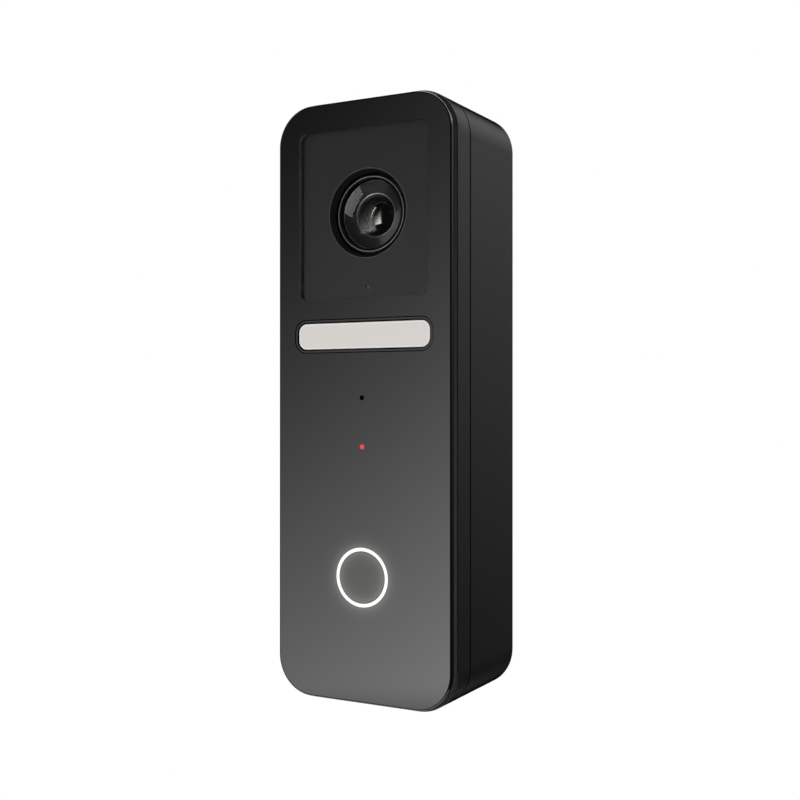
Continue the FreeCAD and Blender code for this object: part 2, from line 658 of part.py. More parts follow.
def night_light_frame():
    """Dark ring round the lit bar, with a flange behind the front wall and two legs for the board."""
    flange = at(FRAME_BACK)
    wide = 2 * BAR_FLANGE
    ring = slab(BAR_W - 2 * GLUED, BAR_H - 2 * GLUED, BAR_R - GLUED, at(RING_SUNK), at(RING_REAR), 0, BAR_Z)
    rear = flange + FLANGE_T
    ring = ring.fuse(slab(BAR_W + wide, BAR_H + wide, BAR_R + BAR_FLANGE, flange, rear, 0, BAR_Z))
    inner = slab(BAR_W - 2 * BAR_RING, BAR_H - 2 * BAR_RING, BAR_R - BAR_RING, at(-1), at(9), 0, BAR_Z)
    ring = ring.cut(inner)
    for side in (-1, 1):
        x_in = side * (BAR_W / 2 - 0.6)
        x_out = side * (BAR_W / 2 + 0.5)
        leg = block(min(x_in, x_out), max(x_in, x_out), flange + 0.3, at(LIGHT_BOARD_DEPTH),
                    BAR_Z - 2.2, BAR_Z + 2.2)
        ring = ring.fuse(leg)
    return ring.removeSplitter()


def night_light_diffuser():
    """White diffuser that fills the ring, with a flange behind it."""
    gap = BAR_RING + GLUED
    bar = slab(BAR_W - 2 * gap, BAR_H - 2 * gap, BAR_R - gap, at(DIFFUSER_SUNK), at(DIFFUSER_REAR), 0, BAR_Z)
    bar = rounded_edges(bar, 0.2, at(DIFFUSER_SUNK))
    lap = slab(BAR_W - 1.4, BAR_H - 1.0, BAR_R - 0.6, at(RING_REAR + GLUED), at(DIFFUSER_REAR), 0, BAR_Z)
    return bar.fuse(lap).removeSplitter()


def night_light_board():
    """Board of the night light and the light sensor."""
    low = BAR_Z - BAR_H / 2
    high = SENSOR_HOLE_Z + 2.2
    return block(-BAR_W / 2, BAR_W / 2, at(LIGHT_BOARD_DEPTH), at(LIGHT_BOARD_DEPTH + BOARD_T), low, high)


def night_light_leds():
    """Row of lamps behind the diffuser."""
    lamps = []
    half = LAMP_W / 2
    rear = at(LIGHT_BOARD_DEPTH)
    for index in range(LAMPS):
        x = (index - (LAMPS - 1) / 2) * LAMP_PITCH
        lamps.append(block(x - half, x + half, rear - LAMP_T, rear, BAR_Z - half, BAR_Z + half))
    return Part.makeCompound(lamps)


# ---- Button, microphone and status light --------------------------------------------------------
def button_cap():
    """Round cap flush with the glass, with the stem that presses the switch."""
    cap = rounded_edges(rod(CAP_R, at(CAP_SUNK), at(CAP_REAR), 0, BUTTON_Z), 0.15, at(CAP_SUNK))
    return cap.fuse(rod(STEM_R, at(CAP_REAR - 0.1), at(STEM_REAR), 0, BUTTON_Z)).removeSplitter()


def button_light_ring():
    """Clear ring round the cap that carries the light from the board to the face."""
    bore = CAP_R + RUNNING
    ring = tube(LIGHT_RING_R, bore, at(0.02), at(LIGHT_RING_REAR), 0, BUTTON_Z)
    flange = tube(LIGHT_RING_R + 1.2, bore, at(FRAME_BACK), at(FRAME_BACK + FLANGE_T), 0, BUTTON_Z)
    return ring.fuse(flange).removeSplitter()


def button_seal():
    """Silicone diaphragm in the ring that keeps rain out behind the cap."""
    y_front = at(CAP_REAR + PRESS_TRAVEL + 0.5)
    return tube(CAP_R + RUNNING - 0.02, STEM_R + RUNNING, y_front, y_front + SEAL_T, 0, BUTTON_Z)


def switch_body():
    """Push switch on the button board."""
    front = at(SWITCH_FRONT)
    body = slab(SWITCH_W, SWITCH_W, 0.4, front, at(BUTTON_BOARD_DEPTH), 0, BUTTON_Z)
    return body.cut(rod(PLUNGER_R + 0.05, front - 1, front + 0.8 + PRESS_TRAVEL, 0, BUTTON_Z))


def switch_plunger():
    """Plunger of the push switch, under the cap's stem."""
    return rod(PLUNGER_R, at(STEM_REAR + 0.02), at(SWITCH_FRONT + 0.6), 0, BUTTON_Z)


def button_board():
    """Board behind the button, the status light and the microphone."""
    low = BUTTON_Z - 12.0
    high = MIC_Z + 0.45 * (BAR_Z - MIC_Z)
    half = BUTTON_BOARD_W / 2
    board = block(-half, half, at(BUTTON_BOARD_DEPTH), at(BUTTON_BOARD_DEPTH + BOARD_T), low, high)
    for x, z in board_post_places():
        board = board.cut(rod(BOARD_SCREW_R + 0.1, at(0), 0, x, z))
    return board


def ring_leds():
    """Eight lamps under the button's ring."""
    radius = CAP_R + RUNNING + LIGHT_RING_T / 2
    lamps = []
    for index in range(RING_LAMPS):
        rear = at(BUTTON_BOARD_DEPTH)
        lamp = block(-0.5, 0.5, rear - 0.6, rear, radius - 0.5, radius + 0.5)
        lamp.rotate(FreeCAD.Vector(0, 0, 0), FreeCAD.Vector(0, 1, 0), 360 / RING_LAMPS * index)
        lamp.translate(FreeCAD.Vector(0, 0, BUTTON_Z))
        lamps.append(lamp)
    return Part.makeCompound(lamps)


def microphone():
    """Microphone capsule on the button board."""
    rear = at(BUTTON_BOARD_DEPTH)
    return block(-1.75, 1.75, rear - MIC_T, rear, MIC_Z - 1.3, MIC_Z + 1.3)


def microphone_gasket():
    """Soft sleeve that seals the sound hole to the microphone."""
    return tube(2.0, MIC_HOLE_R + 0.2, at(FRAME_BACK), at(BUTTON_BOARD_DEPTH - MIC_T), 0, MIC_Z)


def status_light_pipe():
    """Clear rod from the status lamp to the glass."""
    pipe = rod(STATUS_R, at(0.05), at(BUTTON_BOARD_DEPTH - STATUS_LED_T - 0.2), 0, STATUS_Z)
    return pipe.fuse(rod(1.2, at(FRAME_BACK), at(FRAME_BACK + FLANGE_T), 0, STATUS_Z)).removeSplitter()


def status_led():
    """Status lamp on the button board."""
    rear = at(BUTTON_BOARD_DEPTH)
    return block(-0.8, 0.8, rear - STATUS_LED_T, rear, STATUS_Z - 0.4, STATUS_Z + 0.4)


# ---- Main board and what is on it ---------------------------------------------------------------
def main_screw_places():
    """Centres of the four screws of the main board."""
    return [(sx * (MAIN_W / 2 - 2.4), sz * (MAIN_H / 2 - 2.6)) for sx in (-1, 1) for sz in (-1, 1)]


def main_board():
    """Long board in front of the partition."""
    board = slab(MAIN_W, MAIN_H, 1.0, at(MAIN_BOARD_DEPTH), at(MAIN_BACK))
    for x, z in main_screw_places():
        board = board.cut(rod(BOARD_SCREW_R + 0.1, at(0), 0, x, z))
    return board


def board_screws():
    """Four screws in each of the camera board, the button board and the main board."""
    head_r = 1.3
    head_t = 0.7
    screws = []
    for x, z in carrier_posts():
        screws.append(screw(BOARD_SCREW_R, head_r, head_t, 4.4, at(CAMERA_BOARD_DEPTH + BOARD_T), x, z))
    for x, z in board_post_places():
        screws.append(screw(BOARD_SCREW_R, head_r, head_t, 3.6, at(BUTTON_BOARD_DEPTH + BOARD_T), x, z))
    for x, z in main_screw_places():
        screws.append(screw(BOARD_SCREW_R, head_r, head_t, 3.6, at(MAIN_BOARD_DEPTH), x, z, False))
    return Part.makeCompound(screws)


def processor():
    """Main chip."""
    rear = at(MAIN_BOARD_DEPTH)
    return block(-5.5, 5.5, rear - 1.1, rear, CHIP_Z - 5.5, CHIP_Z + 5.5)


def processor_shield():
    """Tinned can over the chip."""
    rear = at(MAIN_BOARD_DEPTH)
    can = slab(18.0, 18.0, 0.8, rear - SHIELD_T, rear, 0, CHIP_Z)
    return can.cut(slab(17.5, 17.5, 0.6, rear - SHIELD_T + 0.25, rear + 1, 0, CHIP_Z))


def thermal_pad():
    """Soft pad between the can and the heat spreader."""
    rear = at(MAIN_BOARD_DEPTH - SHIELD_T)
    return block(-7, 7, rear - PAD_T, rear, CHIP_Z - 7, CHIP_Z + 7)


def heat_spreader():
    """Aluminium plate with four feet on the main board."""
    rear = at(MAIN_BOARD_DEPTH - SHIELD_T - PAD_T)
    half = MAIN_W / 2 - 0.5
    plate = slab(2 * half, 24.0, 1.0, rear - SPREADER_T, rear, 0, CHIP_Z)
    for side in (-1, 1):
        for z in (CHIP_Z - 11.0, CHIP_Z + 11.0):
            x_low, x_high = sorted((side * half, side * (half - 1.2)))
            foot = block(x_low, x_high, rear - 0.1, at(MAIN_BOARD_DEPTH), z - 1.0, z + 1.0)
            plate = plate.fuse(foot)
    return plate.removeSplitter()


def radio_module():
    """Wireless module in its own can."""
    rear = at(MAIN_BOARD_DEPTH)
    return slab(13.0, 11.0, 0.6, rear - 1.8, rear, 6.5, CHIP_Z - 26.0)


def memory_chips():
    """Two memory chips beside the can."""
    return both_sides(lambda side: block(side * 12.4 - 1.9, side * 12.4 + 1.9, at(MAIN_BOARD_DEPTH - 0.9),
                                         at(MAIN_BOARD_DEPTH), -3.0, 6.0))


def antenna():
    """Flexible aerial stuck to the inside of the left wall."""
    x = -(WIDTH / 2 - REAR_WALL)
    return block(x, x + 0.2, at(9.0), at(16.0), -40.0, -16.0)


def rectifier():
    """Bridge rectifier that makes direct current from the bell transformer's supply."""
    return both_sides(lambda side: block(side * 12.0 - 2.2, side * 12.0 + 2.2, at(MAIN_BACK),
                                         at(MAIN_BACK + 2.2), 12.0, 18.0))


def power_inductor():
    """Inductor of the power supply."""
    coil = slab(7.6, 7.6, 1.8, at(MAIN_BACK), at(MAIN_BACK + 2.5), 0, 16.0)
    return coil.cut(rod(1.2, at(MAIN_BACK + 1.6), 0, 0, 16.0))


def capacitors():
    """Two round capacitors on the front of the main board."""
    front = at(MAIN_BOARD_DEPTH - CAPACITOR_L)
    return both_sides(lambda side: rod(CAPACITOR_R, front, at(MAIN_BOARD_DEPTH), side * 8.4 - 3.0, -37.0))


def chime_switch():
    """Solid-state switch that sounds the indoor chime."""
    return block(-4.0, 4.0, at(MAIN_BACK), at(MAIN_BACK + 2.3), -34.0, -27.5)


# ---- Flat cables --------------------------------------------------------------------------------
def camera_cable():
    """Flat cable from the back of the camera board down to the main board."""
    start = at(CAMERA_BOARD_DEPTH + BOARD_T + 0.2)
    end = at(MAIN_BOARD_DEPTH - 0.15)
    low = LENS_Z - CAMERA_BOARD_H / 2
    path = [(start, low + 4.5), (start, low - 1.9), (end, low - 4.5), (end, low - 7.1)]
    return ribbon(path, CABLE_T, -4.0, 4.0)


def button_cable():
    """Flat cable from the button board back to the main board, under the heat spreader's lower edge."""
    start = at(BUTTON_BOARD_DEPTH + BOARD_T + 0.15)
    end = at(MAIN_BOARD_DEPTH - 0.15)
    z = CHIP_Z - 17.4
    return ribbon([(start, z + 3.9), (start, z + 1.4), (start + 1.6, z), (end - 1.4, z), (end, z - 1.6),
                   (end, z - 4.6)], CABLE_T, -6.0, -1.5)


def night_light_cable():
    """Flat cable between the two front boards."""
    start = at(LIGHT_BOARD_DEPTH + BOARD_T + 0.15)
    end = at(BUTTON_BOARD_DEPTH + BOARD_T + 0.15)
    low = BAR_Z - BAR_H / 2
    path = [(start, low + 2.8), (start, low), (end, low - 1.8), (end, MIC_Z + 1.0)]
    return ribbon(path, CABLE_T, -3.0, 3.0)


# ---- Loudspeaker --------------------------------------------------------------------------------
SPEAKER_LOW = BOTTOM + REAR_WALL + MESH_T + GASKET_T


def frame_round_speaker(grow, low, height, wall):
    """An upright-sided frame, open along Z, that follows the loudspeaker's outline."""
    half = SPEAKER_W / 2 - grow
    front = at(SPEAKER_FRONT + grow)
    rear = at(SPEAKER_REAR - grow)
    frame = block(-half, half, front, rear, low, low + height)
    return frame.cut(block(wall - half, half - wall, front + wall, rear - wall, low - 1, low + height + 1))


def speaker():
    """Boxed loudspeaker that faces the slots in the bottom wall."""
    half = SPEAKER_W / 2
    box = block(-half, half, at(SPEAKER_FRONT), at(SPEAKER_REAR), SPEAKER_LOW + 1.2, SPEAKER_LOW + SPEAKER_H)
    return box.fuse(frame_round_speaker(0, SPEAKER_LOW, 1.2, SPEAKER_WALL + 0.8)).removeSplitter()


def speaker_diaphragm():
    """Cone of the loudspeaker."""
    gap = SPEAKER_WALL + 0.85
    half = SPEAKER_W / 2 - gap
    low = SPEAKER_LOW + 0.5
    return block(-half, half, at(SPEAKER_FRONT + gap), at(SPEAKER_REAR - gap), low, low + 0.3)


def speaker_gasket():
    """Foam frame between the loudspeaker and the bottom wall."""
    return frame_round_speaker(0.2, SPEAKER_LOW - GASKET_T, GASKET_T, 1.2)


def speaker_mesh():
    """Water-resistant mesh over the slots."""
    half = SPEAKER_W / 2 - 0.2
    low = BOTTOM + REAR_WALL
    return block(-half, half, at(SPEAKER_FRONT + 0.2), at(SPEAKER_REAR - 0.2), low, low + MESH_T)


def speaker_contacts():
    """Two spring contacts between the loudspeaker and the main board."""
    low = -MAIN_H / 2 + 0.4
    return both_sides(lambda side: block(side * 4 - 0.8, side * 4 + 0.8, at(SPEAKER_REAR), at(MAIN_BOARD_DEPTH),
                                         low, low + 1.2))


# ---- Wire terminals -----------------------------------------------------------------------------
def terminal_block():
    """Plastic block that fills the partition's opening and carries the two terminals."""
    x_low, x_high, z_low, z_high = terminal_hole(0)
    body = block(x_low, x_high, at(MAIN_BACK), PARTITION_REAR_Y, z_low, z_high)
    half_w = TERMINAL_PLATE_W / 2 + LOOSE
    half_h = TERMINAL_PLATE_H / 2 + LOOSE
    for side in (-1, 1):
        x = side * TERMINAL_X
        body = body.cut(block(x - half_w, x + half_w, PARTITION_REAR_Y - TERMINAL_PLATE_T, 0,
                              TERMINAL_Z - half_h, TERMINAL_Z + half_h))
        body = body.cut(rod(TERMINAL_SCREW_R + 0.3, at(MAIN_BACK) + 0.4, 0, x, TERMINAL_Z))
    return body


def terminal_plate(side):
    """Brass plate with the threaded hole."""
    x = side * TERMINAL_X
    half_w = TERMINAL_PLATE_W / 2
    half_h = TERMINAL_PLATE_H / 2
    plate = block(x - half_w, x + half_w, PARTITION_REAR_Y - TERMINAL_PLATE_T, PARTITION_REAR_Y,
                  TERMINAL_Z - half_h, TERMINAL_Z + half_h)
    return plate.cut(rod(TERMINAL_SCREW_R + GLUED, PARTITION_REAR_Y - 2, 0, x, TERMINAL_Z))


def terminal_clamp(side):
    """Square washer under the screw's head that presses on the bell wire."""
    x = side * TERMINAL_X
    y = PARTITION_REAR_Y + CLAMP_LIFT
    clamp = slab(CLAMP_W, CLAMP_W, 0.5, y, y + CLAMP_T, x, TERMINAL_Z)
    return clamp.cut(rod(TERMINAL_SCREW_R + GLUED, y - 1, y + 2, x, TERMINAL_Z))


def terminal_screw(side):
    """Terminal screw."""
    bearing = PARTITION_REAR_Y + CLAMP_LIFT + CLAMP_T + 0.02
    return screw(TERMINAL_SCREW_R, TERMINAL_HEAD_R, TERMINAL_HEAD_T, TERMINAL_SCREW_L, bearing,
                 side * TERMINAL_X, TERMINAL_Z)


# ---- Wall plate and lock screw ------------------------------------------------------------------
def wall_plate():
    """Plate screwed to the wall: side ledges with notches, wire opening and the block for the lock screw."""
    height = PLATE_TOP - PLATE_BOTTOM
    middle = (PLATE_TOP + PLATE_BOTTOM) / 2
    radius = CORNER_R - REAR_WALL - PLATE_SIDE_GAP
    plate = slab(PLATE_W, height, radius, PLATE_FRONT_Y, PLATE_FRONT_Y + LEDGE_T, 0, middle)
    narrow = PLATE_W - 2 * LEDGE_W
    plate = plate.fuse(slab(narrow, height - 2 * LEDGE_W, radius - LEDGE_W, PLATE_FRONT_Y, 0, 0, middle))
    for z in TAB_STATIONS:
        notch_z = z + LIFT_TRAVEL
        for side in (-1, 1):
            x_low, x_high = sorted((side * narrow / 2, side * PLATE_W))
            plate = plate.cut(block(x_low, x_high, PLATE_FRONT_Y - 1, 1, notch_z - TAB_L / 2 - 0.3,
                                    notch_z + TAB_L / 2 + 0.3))
    opening = slab(WIRE_OPENING_W, WIRE_OPENING_H, 2.0, PLATE_FRONT_Y - 1, 1, 0, WIRE_OPENING_Z)
    plate = plate.cut(opening)
    for sign in (-1, 1):
        z = sign * WALL_SCREW_Z
        plate = plate.cut(rod(WALL_SCREW_R, PLATE_FRONT_Y - 1, 1, 0, z))
        sink_y = PLATE_FRONT_Y - 0.1
        sink = turned([(0, sink_y), (WALL_SCREW_SINK_R, sink_y), (WALL_SCREW_R, PLATE_FRONT_Y + PLATE_T / 2),
                       (0, PLATE_FRONT_Y + PLATE_T / 2)], 0, z)
        plate = plate.cut(sink)
    half = LOCK_BLOCK_W / 2
    plate = plate.fuse(block(-half, half, LOCK_Y - LOCK_R - LOCK_WALL, 0, PLATE_BOTTOM, LOCK_BLOCK_TOP))
    bore_l = LIFT_TRAVEL + LOCK_TIP + 0.4
    bore = Part.makeCylinder(LOCK_R + 0.1, bore_l + 1, FreeCAD.Vector(0, LOCK_Y, PLATE_BOTTOM - 1))
    return plate.cut(bore).removeSplitter()


def lock_screw_washer():
    """Rubber washer under the lock screw's head."""
    low = BOTTOM + LOCK_SUNK + LOCK_HEAD_T + 0.02
    washer = Part.makeCylinder(LOCK_HEAD_R, LOCK_WASHER_T, FreeCAD.Vector(0, LOCK_Y, low))
    return washer.cut(Part.makeCylinder(LOCK_R + 0.05, 1, FreeCAD.Vector(0, LOCK_Y, low - 0.3)))


def lock_screw():
    """Screw from below that locks the doorbell to the wall plate, with a six-sided socket."""
    head_low = BOTTOM + LOCK_SUNK
    head = Part.makeCylinder(LOCK_HEAD_R, LOCK_HEAD_T, FreeCAD.Vector(0, LOCK_Y, head_low))
    tip = PLATE_BOTTOM + LOCK_TIP
    shank = Part.makeCylinder(LOCK_R, tip - head_low, FreeCAD.Vector(0, LOCK_Y, head_low))
    pointed = [e for e in shank.Edges if len(e.Vertexes) == 1 and e.BoundBox.ZMin > tip - 0.01]
    shank = shank.makeChamfer(0.3, pointed)
    corners = [FreeCAD.Vector(0.75, LOCK_Y, head_low)]
    turn = FreeCAD.Rotation(FreeCAD.Vector(0, 0, 1), 60)
    centre = FreeCAD.Vector(0, LOCK_Y, head_low)
    for _ in range(5):
        corners.append(centre + turn.multVec(corners[-1] - centre))
    socket = Part.Face(Part.makePolygon(corners + corners[:1])).extrude(FreeCAD.Vector(0, 0, 1.1))
    return head.fuse(shank).cut(socket)


# ---- All pieces, by the name of their file ------------------------------------------------------
PIECES = {
    "wall_plate": wall_plate(),
    "lock_screw_washer": lock_screw_washer(),
    "lock_screw": lock_screw(),
    "front_glass": front_glass(),
    "glass_adhesive": glass_adhesive(),
    "front_frame": front_frame(),
    "housing_seal": housing_seal(),
    "rear_housing": rear_housing(),
    "housing_screws": housing_screws(),
    "back_label": back_label(),
    "camera_carrier": camera_carrier(),
    "lens_trim_ring": lens_trim_ring(),
    "lens_barrel": lens_barrel(),
    "front_lens": front_lens(),
    "second_lens": second_lens(),
    "rear_lens": rear_lens(),
    "lens_holder": lens_holder(),
    "infrared_filter": infrared_filter(),
    "image_sensor": image_sensor(),
    "camera_board": camera_board(),
    "sensor_light_pipe": sensor_light_pipe(),
    "light_sensor": light_sensor(),
    "night_light_frame": night_light_frame(),
    "night_light_diffuser": night_light_diffuser(),
    "night_light_board": night_light_board(),
    "night_light_leds": night_light_leds(),
    "button_cap": button_cap(),
    "button_light_ring": button_light_ring(),
    "button_seal": button_seal(),
    "switch_body": switch_body(),
    "switch_plunger": switch_plunger(),
    "button_board": button_board(),
    "ring_leds": ring_leds(),
    "microphone": microphone(),
    "microphone_gasket": microphone_gasket(),
    "status_light_pipe": status_light_pipe(),
    "status_led": status_led(),
    "main_board": main_board(),
    "board_screws": board_screws(),
    "processor": processor(),
    "processor_shield": processor_shield(),
    "thermal_pad": thermal_pad(),
    "heat_spreader": heat_spreader(),
    "radio_module": radio_module(),
    "memory_chips": memory_chips(),
    "antenna": antenna(),
    "power_supply": Part.makeCompound([rectifier(), power_inductor(), chime_switch(), capacitors()]),
    "flat_cables": Part.makeCompound([camera_cable(), button_cable(), night_light_cable()]),
    "speaker": speaker(),
    "speaker_diaphragm": speaker_diaphragm(),
    "speaker_gasket": speaker_gasket(),
    "speaker_mesh": speaker_mesh(),
    "speaker_contacts": speaker_contacts(),
    "terminal_block": terminal_block(),
    "terminal_plates": Part.makeCompound([terminal_plate(-1), terminal_plate(1)]),
    "left_terminal_clamp": terminal_clamp(-1),
    "left_terminal_screw": terminal_screw(-1),
    "right_terminal_clamp": terminal_clamp(1),
    "right_terminal_screw": terminal_screw(1),
}

os.makedirs("parts", exist_ok=True)
for name, shape in PIECES.items():
    shape.exportStep("parts/" + name + ".step")
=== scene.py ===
from math import radians

import bpy
import numpy as np
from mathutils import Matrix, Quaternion, Vector


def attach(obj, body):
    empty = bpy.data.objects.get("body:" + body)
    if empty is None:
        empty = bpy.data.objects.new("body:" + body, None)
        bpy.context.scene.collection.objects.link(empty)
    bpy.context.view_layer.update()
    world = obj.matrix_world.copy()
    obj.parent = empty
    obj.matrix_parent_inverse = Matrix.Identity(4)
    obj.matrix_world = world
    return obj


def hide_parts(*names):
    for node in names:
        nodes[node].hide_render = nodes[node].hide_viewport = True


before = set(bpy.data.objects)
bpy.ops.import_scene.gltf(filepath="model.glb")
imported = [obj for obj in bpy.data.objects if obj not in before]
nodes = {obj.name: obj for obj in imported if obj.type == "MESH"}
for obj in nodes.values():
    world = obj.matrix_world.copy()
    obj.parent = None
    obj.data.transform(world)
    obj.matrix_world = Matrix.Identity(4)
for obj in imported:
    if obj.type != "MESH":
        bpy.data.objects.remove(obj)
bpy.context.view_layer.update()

scene = bpy.context.scene
MM = 0.001

# ---- Camera and studio --------------------------------------------------------------------------
# The doorbell hangs free in a white studio: a round white floor well below it, a big lamp up on its
# left, and soft walls of light that only the gloss of the glass and plastic mirrors.
CAMERA_PLACE = (116.67 * MM, -225.0 * MM, 0.2 * MM)
CAMERA_TURN = radians(28.82)
FLOOR_DROP = 0.50           # floor under the middle of the doorbell
FLOOR_RADIUS = 0.50
WALL_RADIUS = 2.5
LENS_LENGTH, FRAME_WIDTH = 52.70, 36.0      # the camera's, in millimetres
LAMP_PLACE, LAMP_SIZE = (-0.804, -0.408, 0.432), (0.46, 0.54)
LAMP_TILT, LAMP_WATTS = radians(-20), 1.5


class Wire:
    """A value on its way through a shader's nodes. Plain sums on it add Math nodes; node() adds any other."""

    def __init__(self, socket):
        self.socket = socket
        self.tree = socket.id_data

    def node(self, kind, settings=None, sockets=None, output=0):
        """Adds a node: first its settings, with a ramp's stops among them, then its sockets' values or links."""
        made = self.tree.nodes.new("ShaderNode" + kind)
        settings = dict(settings or {})
        stops = settings.pop("stops", ())
        for name, value in settings.items():
            setattr(made, name, value)
        for index, (place, colour) in enumerate(stops):
            ramp = made.color_ramp.elements
            stop = ramp[index] if index < len(ramp) else ramp.new(place)
            stop.position, stop.color = place, colour
        for name, value in (sockets or {}).items():
            if isinstance(value, Wire):
                self.tree.links.new(value.socket, made.inputs[name])
            else:
                made.inputs[name].default_value = value
        return None if output is None else Wire(made.outputs[output])

    def maths(self, operation, first, second=0.0):
        return self.node("Math", {"operation": operation}, {0: first, 1: second})

    def __add__(self, other):
        return self.maths("ADD", self, other)

    def __sub__(self, other):
        return self.maths("SUBTRACT", self, other)

    def __rsub__(self, other):
        return self.maths("SUBTRACT", other, self)

    def __mul__(self, other):
        return self.maths("MULTIPLY", self, other)

    def __abs__(self):
        return self.maths("ABSOLUTE", self)

    __radd__ = __add__
    __rmul__ = __mul__

    def most(self, other):
        return self.maths("MAXIMUM", self, other)

    def least(self, other):
        return self.maths("MINIMUM", self, other)

    def power(self, other):
        return self.maths("POWER", self, other)

    def falloff(self, start, reach):
        """1 at the start, and down by e for every reach beyond it."""
        return self.maths("EXPONENT", (self - start).most(0.0) * (-1.0 / reach))

    def rise(self, low, high):
        """0 up to low, 1 from high on, and a smooth S between them."""
        span = {"Value": self, "From Min": low, "From Max": high}
        return self.node("MapRange", {"interpolation_type": "SMOOTHSTEP"}, span)

    def fade(self, low, high):
        """1 up to low, 0 from high on."""
        return 1.0 - self.rise(low, high)

    def parts(self):
        """The three components of a vector."""
        split = self.tree.nodes.new("ShaderNodeSeparateXYZ")
        self.tree.links.new(self.socket, split.inputs[0])
        return [Wire(out) for out in split.outputs]

    def scaled(self, by):
        """The vector times three numbers, one for each component."""
        return self.node("VectorMath", {"operation": "MULTIPLY"}, {0: self, 1: by})

    def noise(self, scale, detail=2.0, rough=0.5):
        """Cloudy noise around 0.5 over a position."""
        return self.node("TexNoise", {}, {"Vector": self, "Scale": scale, "Detail": detail, "Roughness": rough})

    def tint(self, low, high):
        """The colour low where the wire is 0 and high where it is 1."""
        sockets = {0: self, 6: colour_of(low), 7: colour_of(high)}
        return self.node("Mix", {"data_type": "RGBA"}, sockets, 2)

    def bump(self, depth):
        """A bent normal from a height of 0 to 1 that stands for a depth in metres."""
        return self.node("Bump", {}, {"Height": self, "Distance": depth, "Strength": 1.0})

    def shade(self, first, second):
        """The shader first where the wire is 0 and second where it is 1."""
        return self.node("MixShader", {}, {0: self, 1: first, 2: second})

    def finish(self):
        """Makes this shader the surface of its tree."""
        self.node("OutputMaterial", {}, {"Surface": self}, None)


def colour_of(value):
    """Three numbers with an alpha of 1 behind them; a wire stays as it is."""
    return value if isinstance(value, Wire) else (*value[:3], 1.0)


def start_material(name):
    """A new material with nothing in it but its Object coordinates, given as a wire."""
    material = bpy.data.materials.new(name)
    material.use_nodes = True
    material.node_tree.nodes.clear()
    place = material.node_tree.nodes.new("ShaderNodeTexCoord")
    return material, Wire(place.outputs["Object"])


def seen_straight(wire):
    """1 for the rays that look at the background: from the camera, off gloss and through glass."""
    tree = wire.tree
    path = tree.nodes.new("ShaderNodeLightPath")
    rays = [Wire(path.outputs[n]) for n in ("Is Camera Ray", "Is Glossy Ray", "Is Transmission Ray")]
    return rays[0].most(rays[1]).most(rays[2])


def mesh_piece(name, points, faces, material, smooth=True):
    """A mesh object from arrays of points in metres and of faces, with one material."""
    mesh = bpy.data.meshes.new(name)
    mesh.from_pydata(np.asarray(points, float).reshape(-1, 3).tolist(), [], faces)
    mesh.polygons.foreach_set("use_smooth", np.full(len(mesh.polygons), smooth))
    mesh.materials.append(material)
    mesh.update()
    piece = bpy.data.objects.new(name, mesh)
    scene.collection.objects.link(piece)
    return piece


def grid_faces(rows, columns, wrap=False):
    """The quads of a grid of points, row after row; with wrap the last column joins the first."""
    row, column = np.meshgrid(np.arange(rows - 1), np.arange(columns if wrap else columns - 1), indexing="ij")
    after = (column + 1) % columns
    corners = [row * columns + column, row * columns + after, (row + 1) * columns + after,
               (row + 1) * columns + column]
    return np.stack(corners, axis=-1).reshape(-1, 4)


def make_floor():
    """A disc: radius times cosine and sine of the turn, on one level. Its white is a little short of the
    background's, and the rays that look at it get the rest as light, so that a shadow still shows."""
    material, place = start_material("studio_floor")
    paper = place.node("BsdfDiffuse", {}, {"Color": (0.86, 0.86, 0.86, 1.0)})
    lift = place.node("Emission", {}, {"Color": (1.0, 1.0, 1.0, 1.0), "Strength": seen_straight(place) * 0.5})
    place.node("AddShader", {}, {0: paper, 1: lift}).finish()
    turn = np.linspace(0, 2 * np.pi, 96, endpoint=False)
    points = np.stack([FLOOR_RADIUS * np.cos(turn), FLOOR_RADIUS * np.sin(turn), turn * 0 - FLOOR_DROP], axis=-1)
    mesh_piece("studio_floor", points, [list(range(96))], material, smooth=False)


def make_light_walls():
    """A sphere seen from inside, by gloss alone: sine and cosine of the height angle times those of the turn.
    front brightens evenly down and to the right, and the glass face mirrors it. back brightens upwards behind
    the right side, for the housing. arch is a narrow bright band at the back, and crown a strong patch high
    up, which shows only on the glass's rounded edge."""
    material, place = start_material("studio_light_walls")
    way = place.node("VectorMath", {"operation": "NORMALIZE"}, {0: place})
    x, y, z = way.parts()
    level = x * 2.68 - z * 2.68 + 2.45
    front = level.most(0.0).power(2.0).least(5.0) * y.fade(-0.5, -0.1) * z.rise(-0.31, -0.25)
    front = front * x.fade(-0.40, -0.20) * x.rise(-0.72, -0.62)
    back = z.rise(-0.27, 0.06) * 0.125 + z.rise(0.0, 0.28) * 0.31
    back = back * z.fade(0.45, 0.65) * x.rise(-0.10, 0.28) * y.rise(-0.2, 0.3)
    arch = y.rise(0.838, 0.850) * y.fade(0.876, 0.888) * z.rise(0.20, 0.26) * x.fade(0.30, 0.40)
    crown = y.rise(0.0, 0.1) * y.fade(0.50, 0.60) * z.rise(0.30, 0.50) * x.rise(-0.44, -0.32)
    total = front + back + arch * 1.3 + crown * 5.0 + y.rise(0.95, 0.99) * 0.25 + 0.015
    place.node("Emission", {}, {"Color": (1.0, 1.0, 1.0, 1.0), "Strength": total}).finish()
    height, turn = np.meshgrid(np.linspace(0, np.pi, 33), np.linspace(0, 2 * np.pi, 64, endpoint=False),
                               indexing="ij")
    points = WALL_RADIUS * np.stack([np.sin(height) * np.cos(turn), np.sin(height) * np.sin(turn),
                                     np.cos(height)], axis=-1)
    walls = mesh_piece("studio_light_walls", points, grid_faces(33, 64, wrap=True).tolist(), material)
    for rays in ("camera", "diffuse", "transmission", "volume_scatter", "shadow"):
        setattr(walls, "visible_" + rays, False)


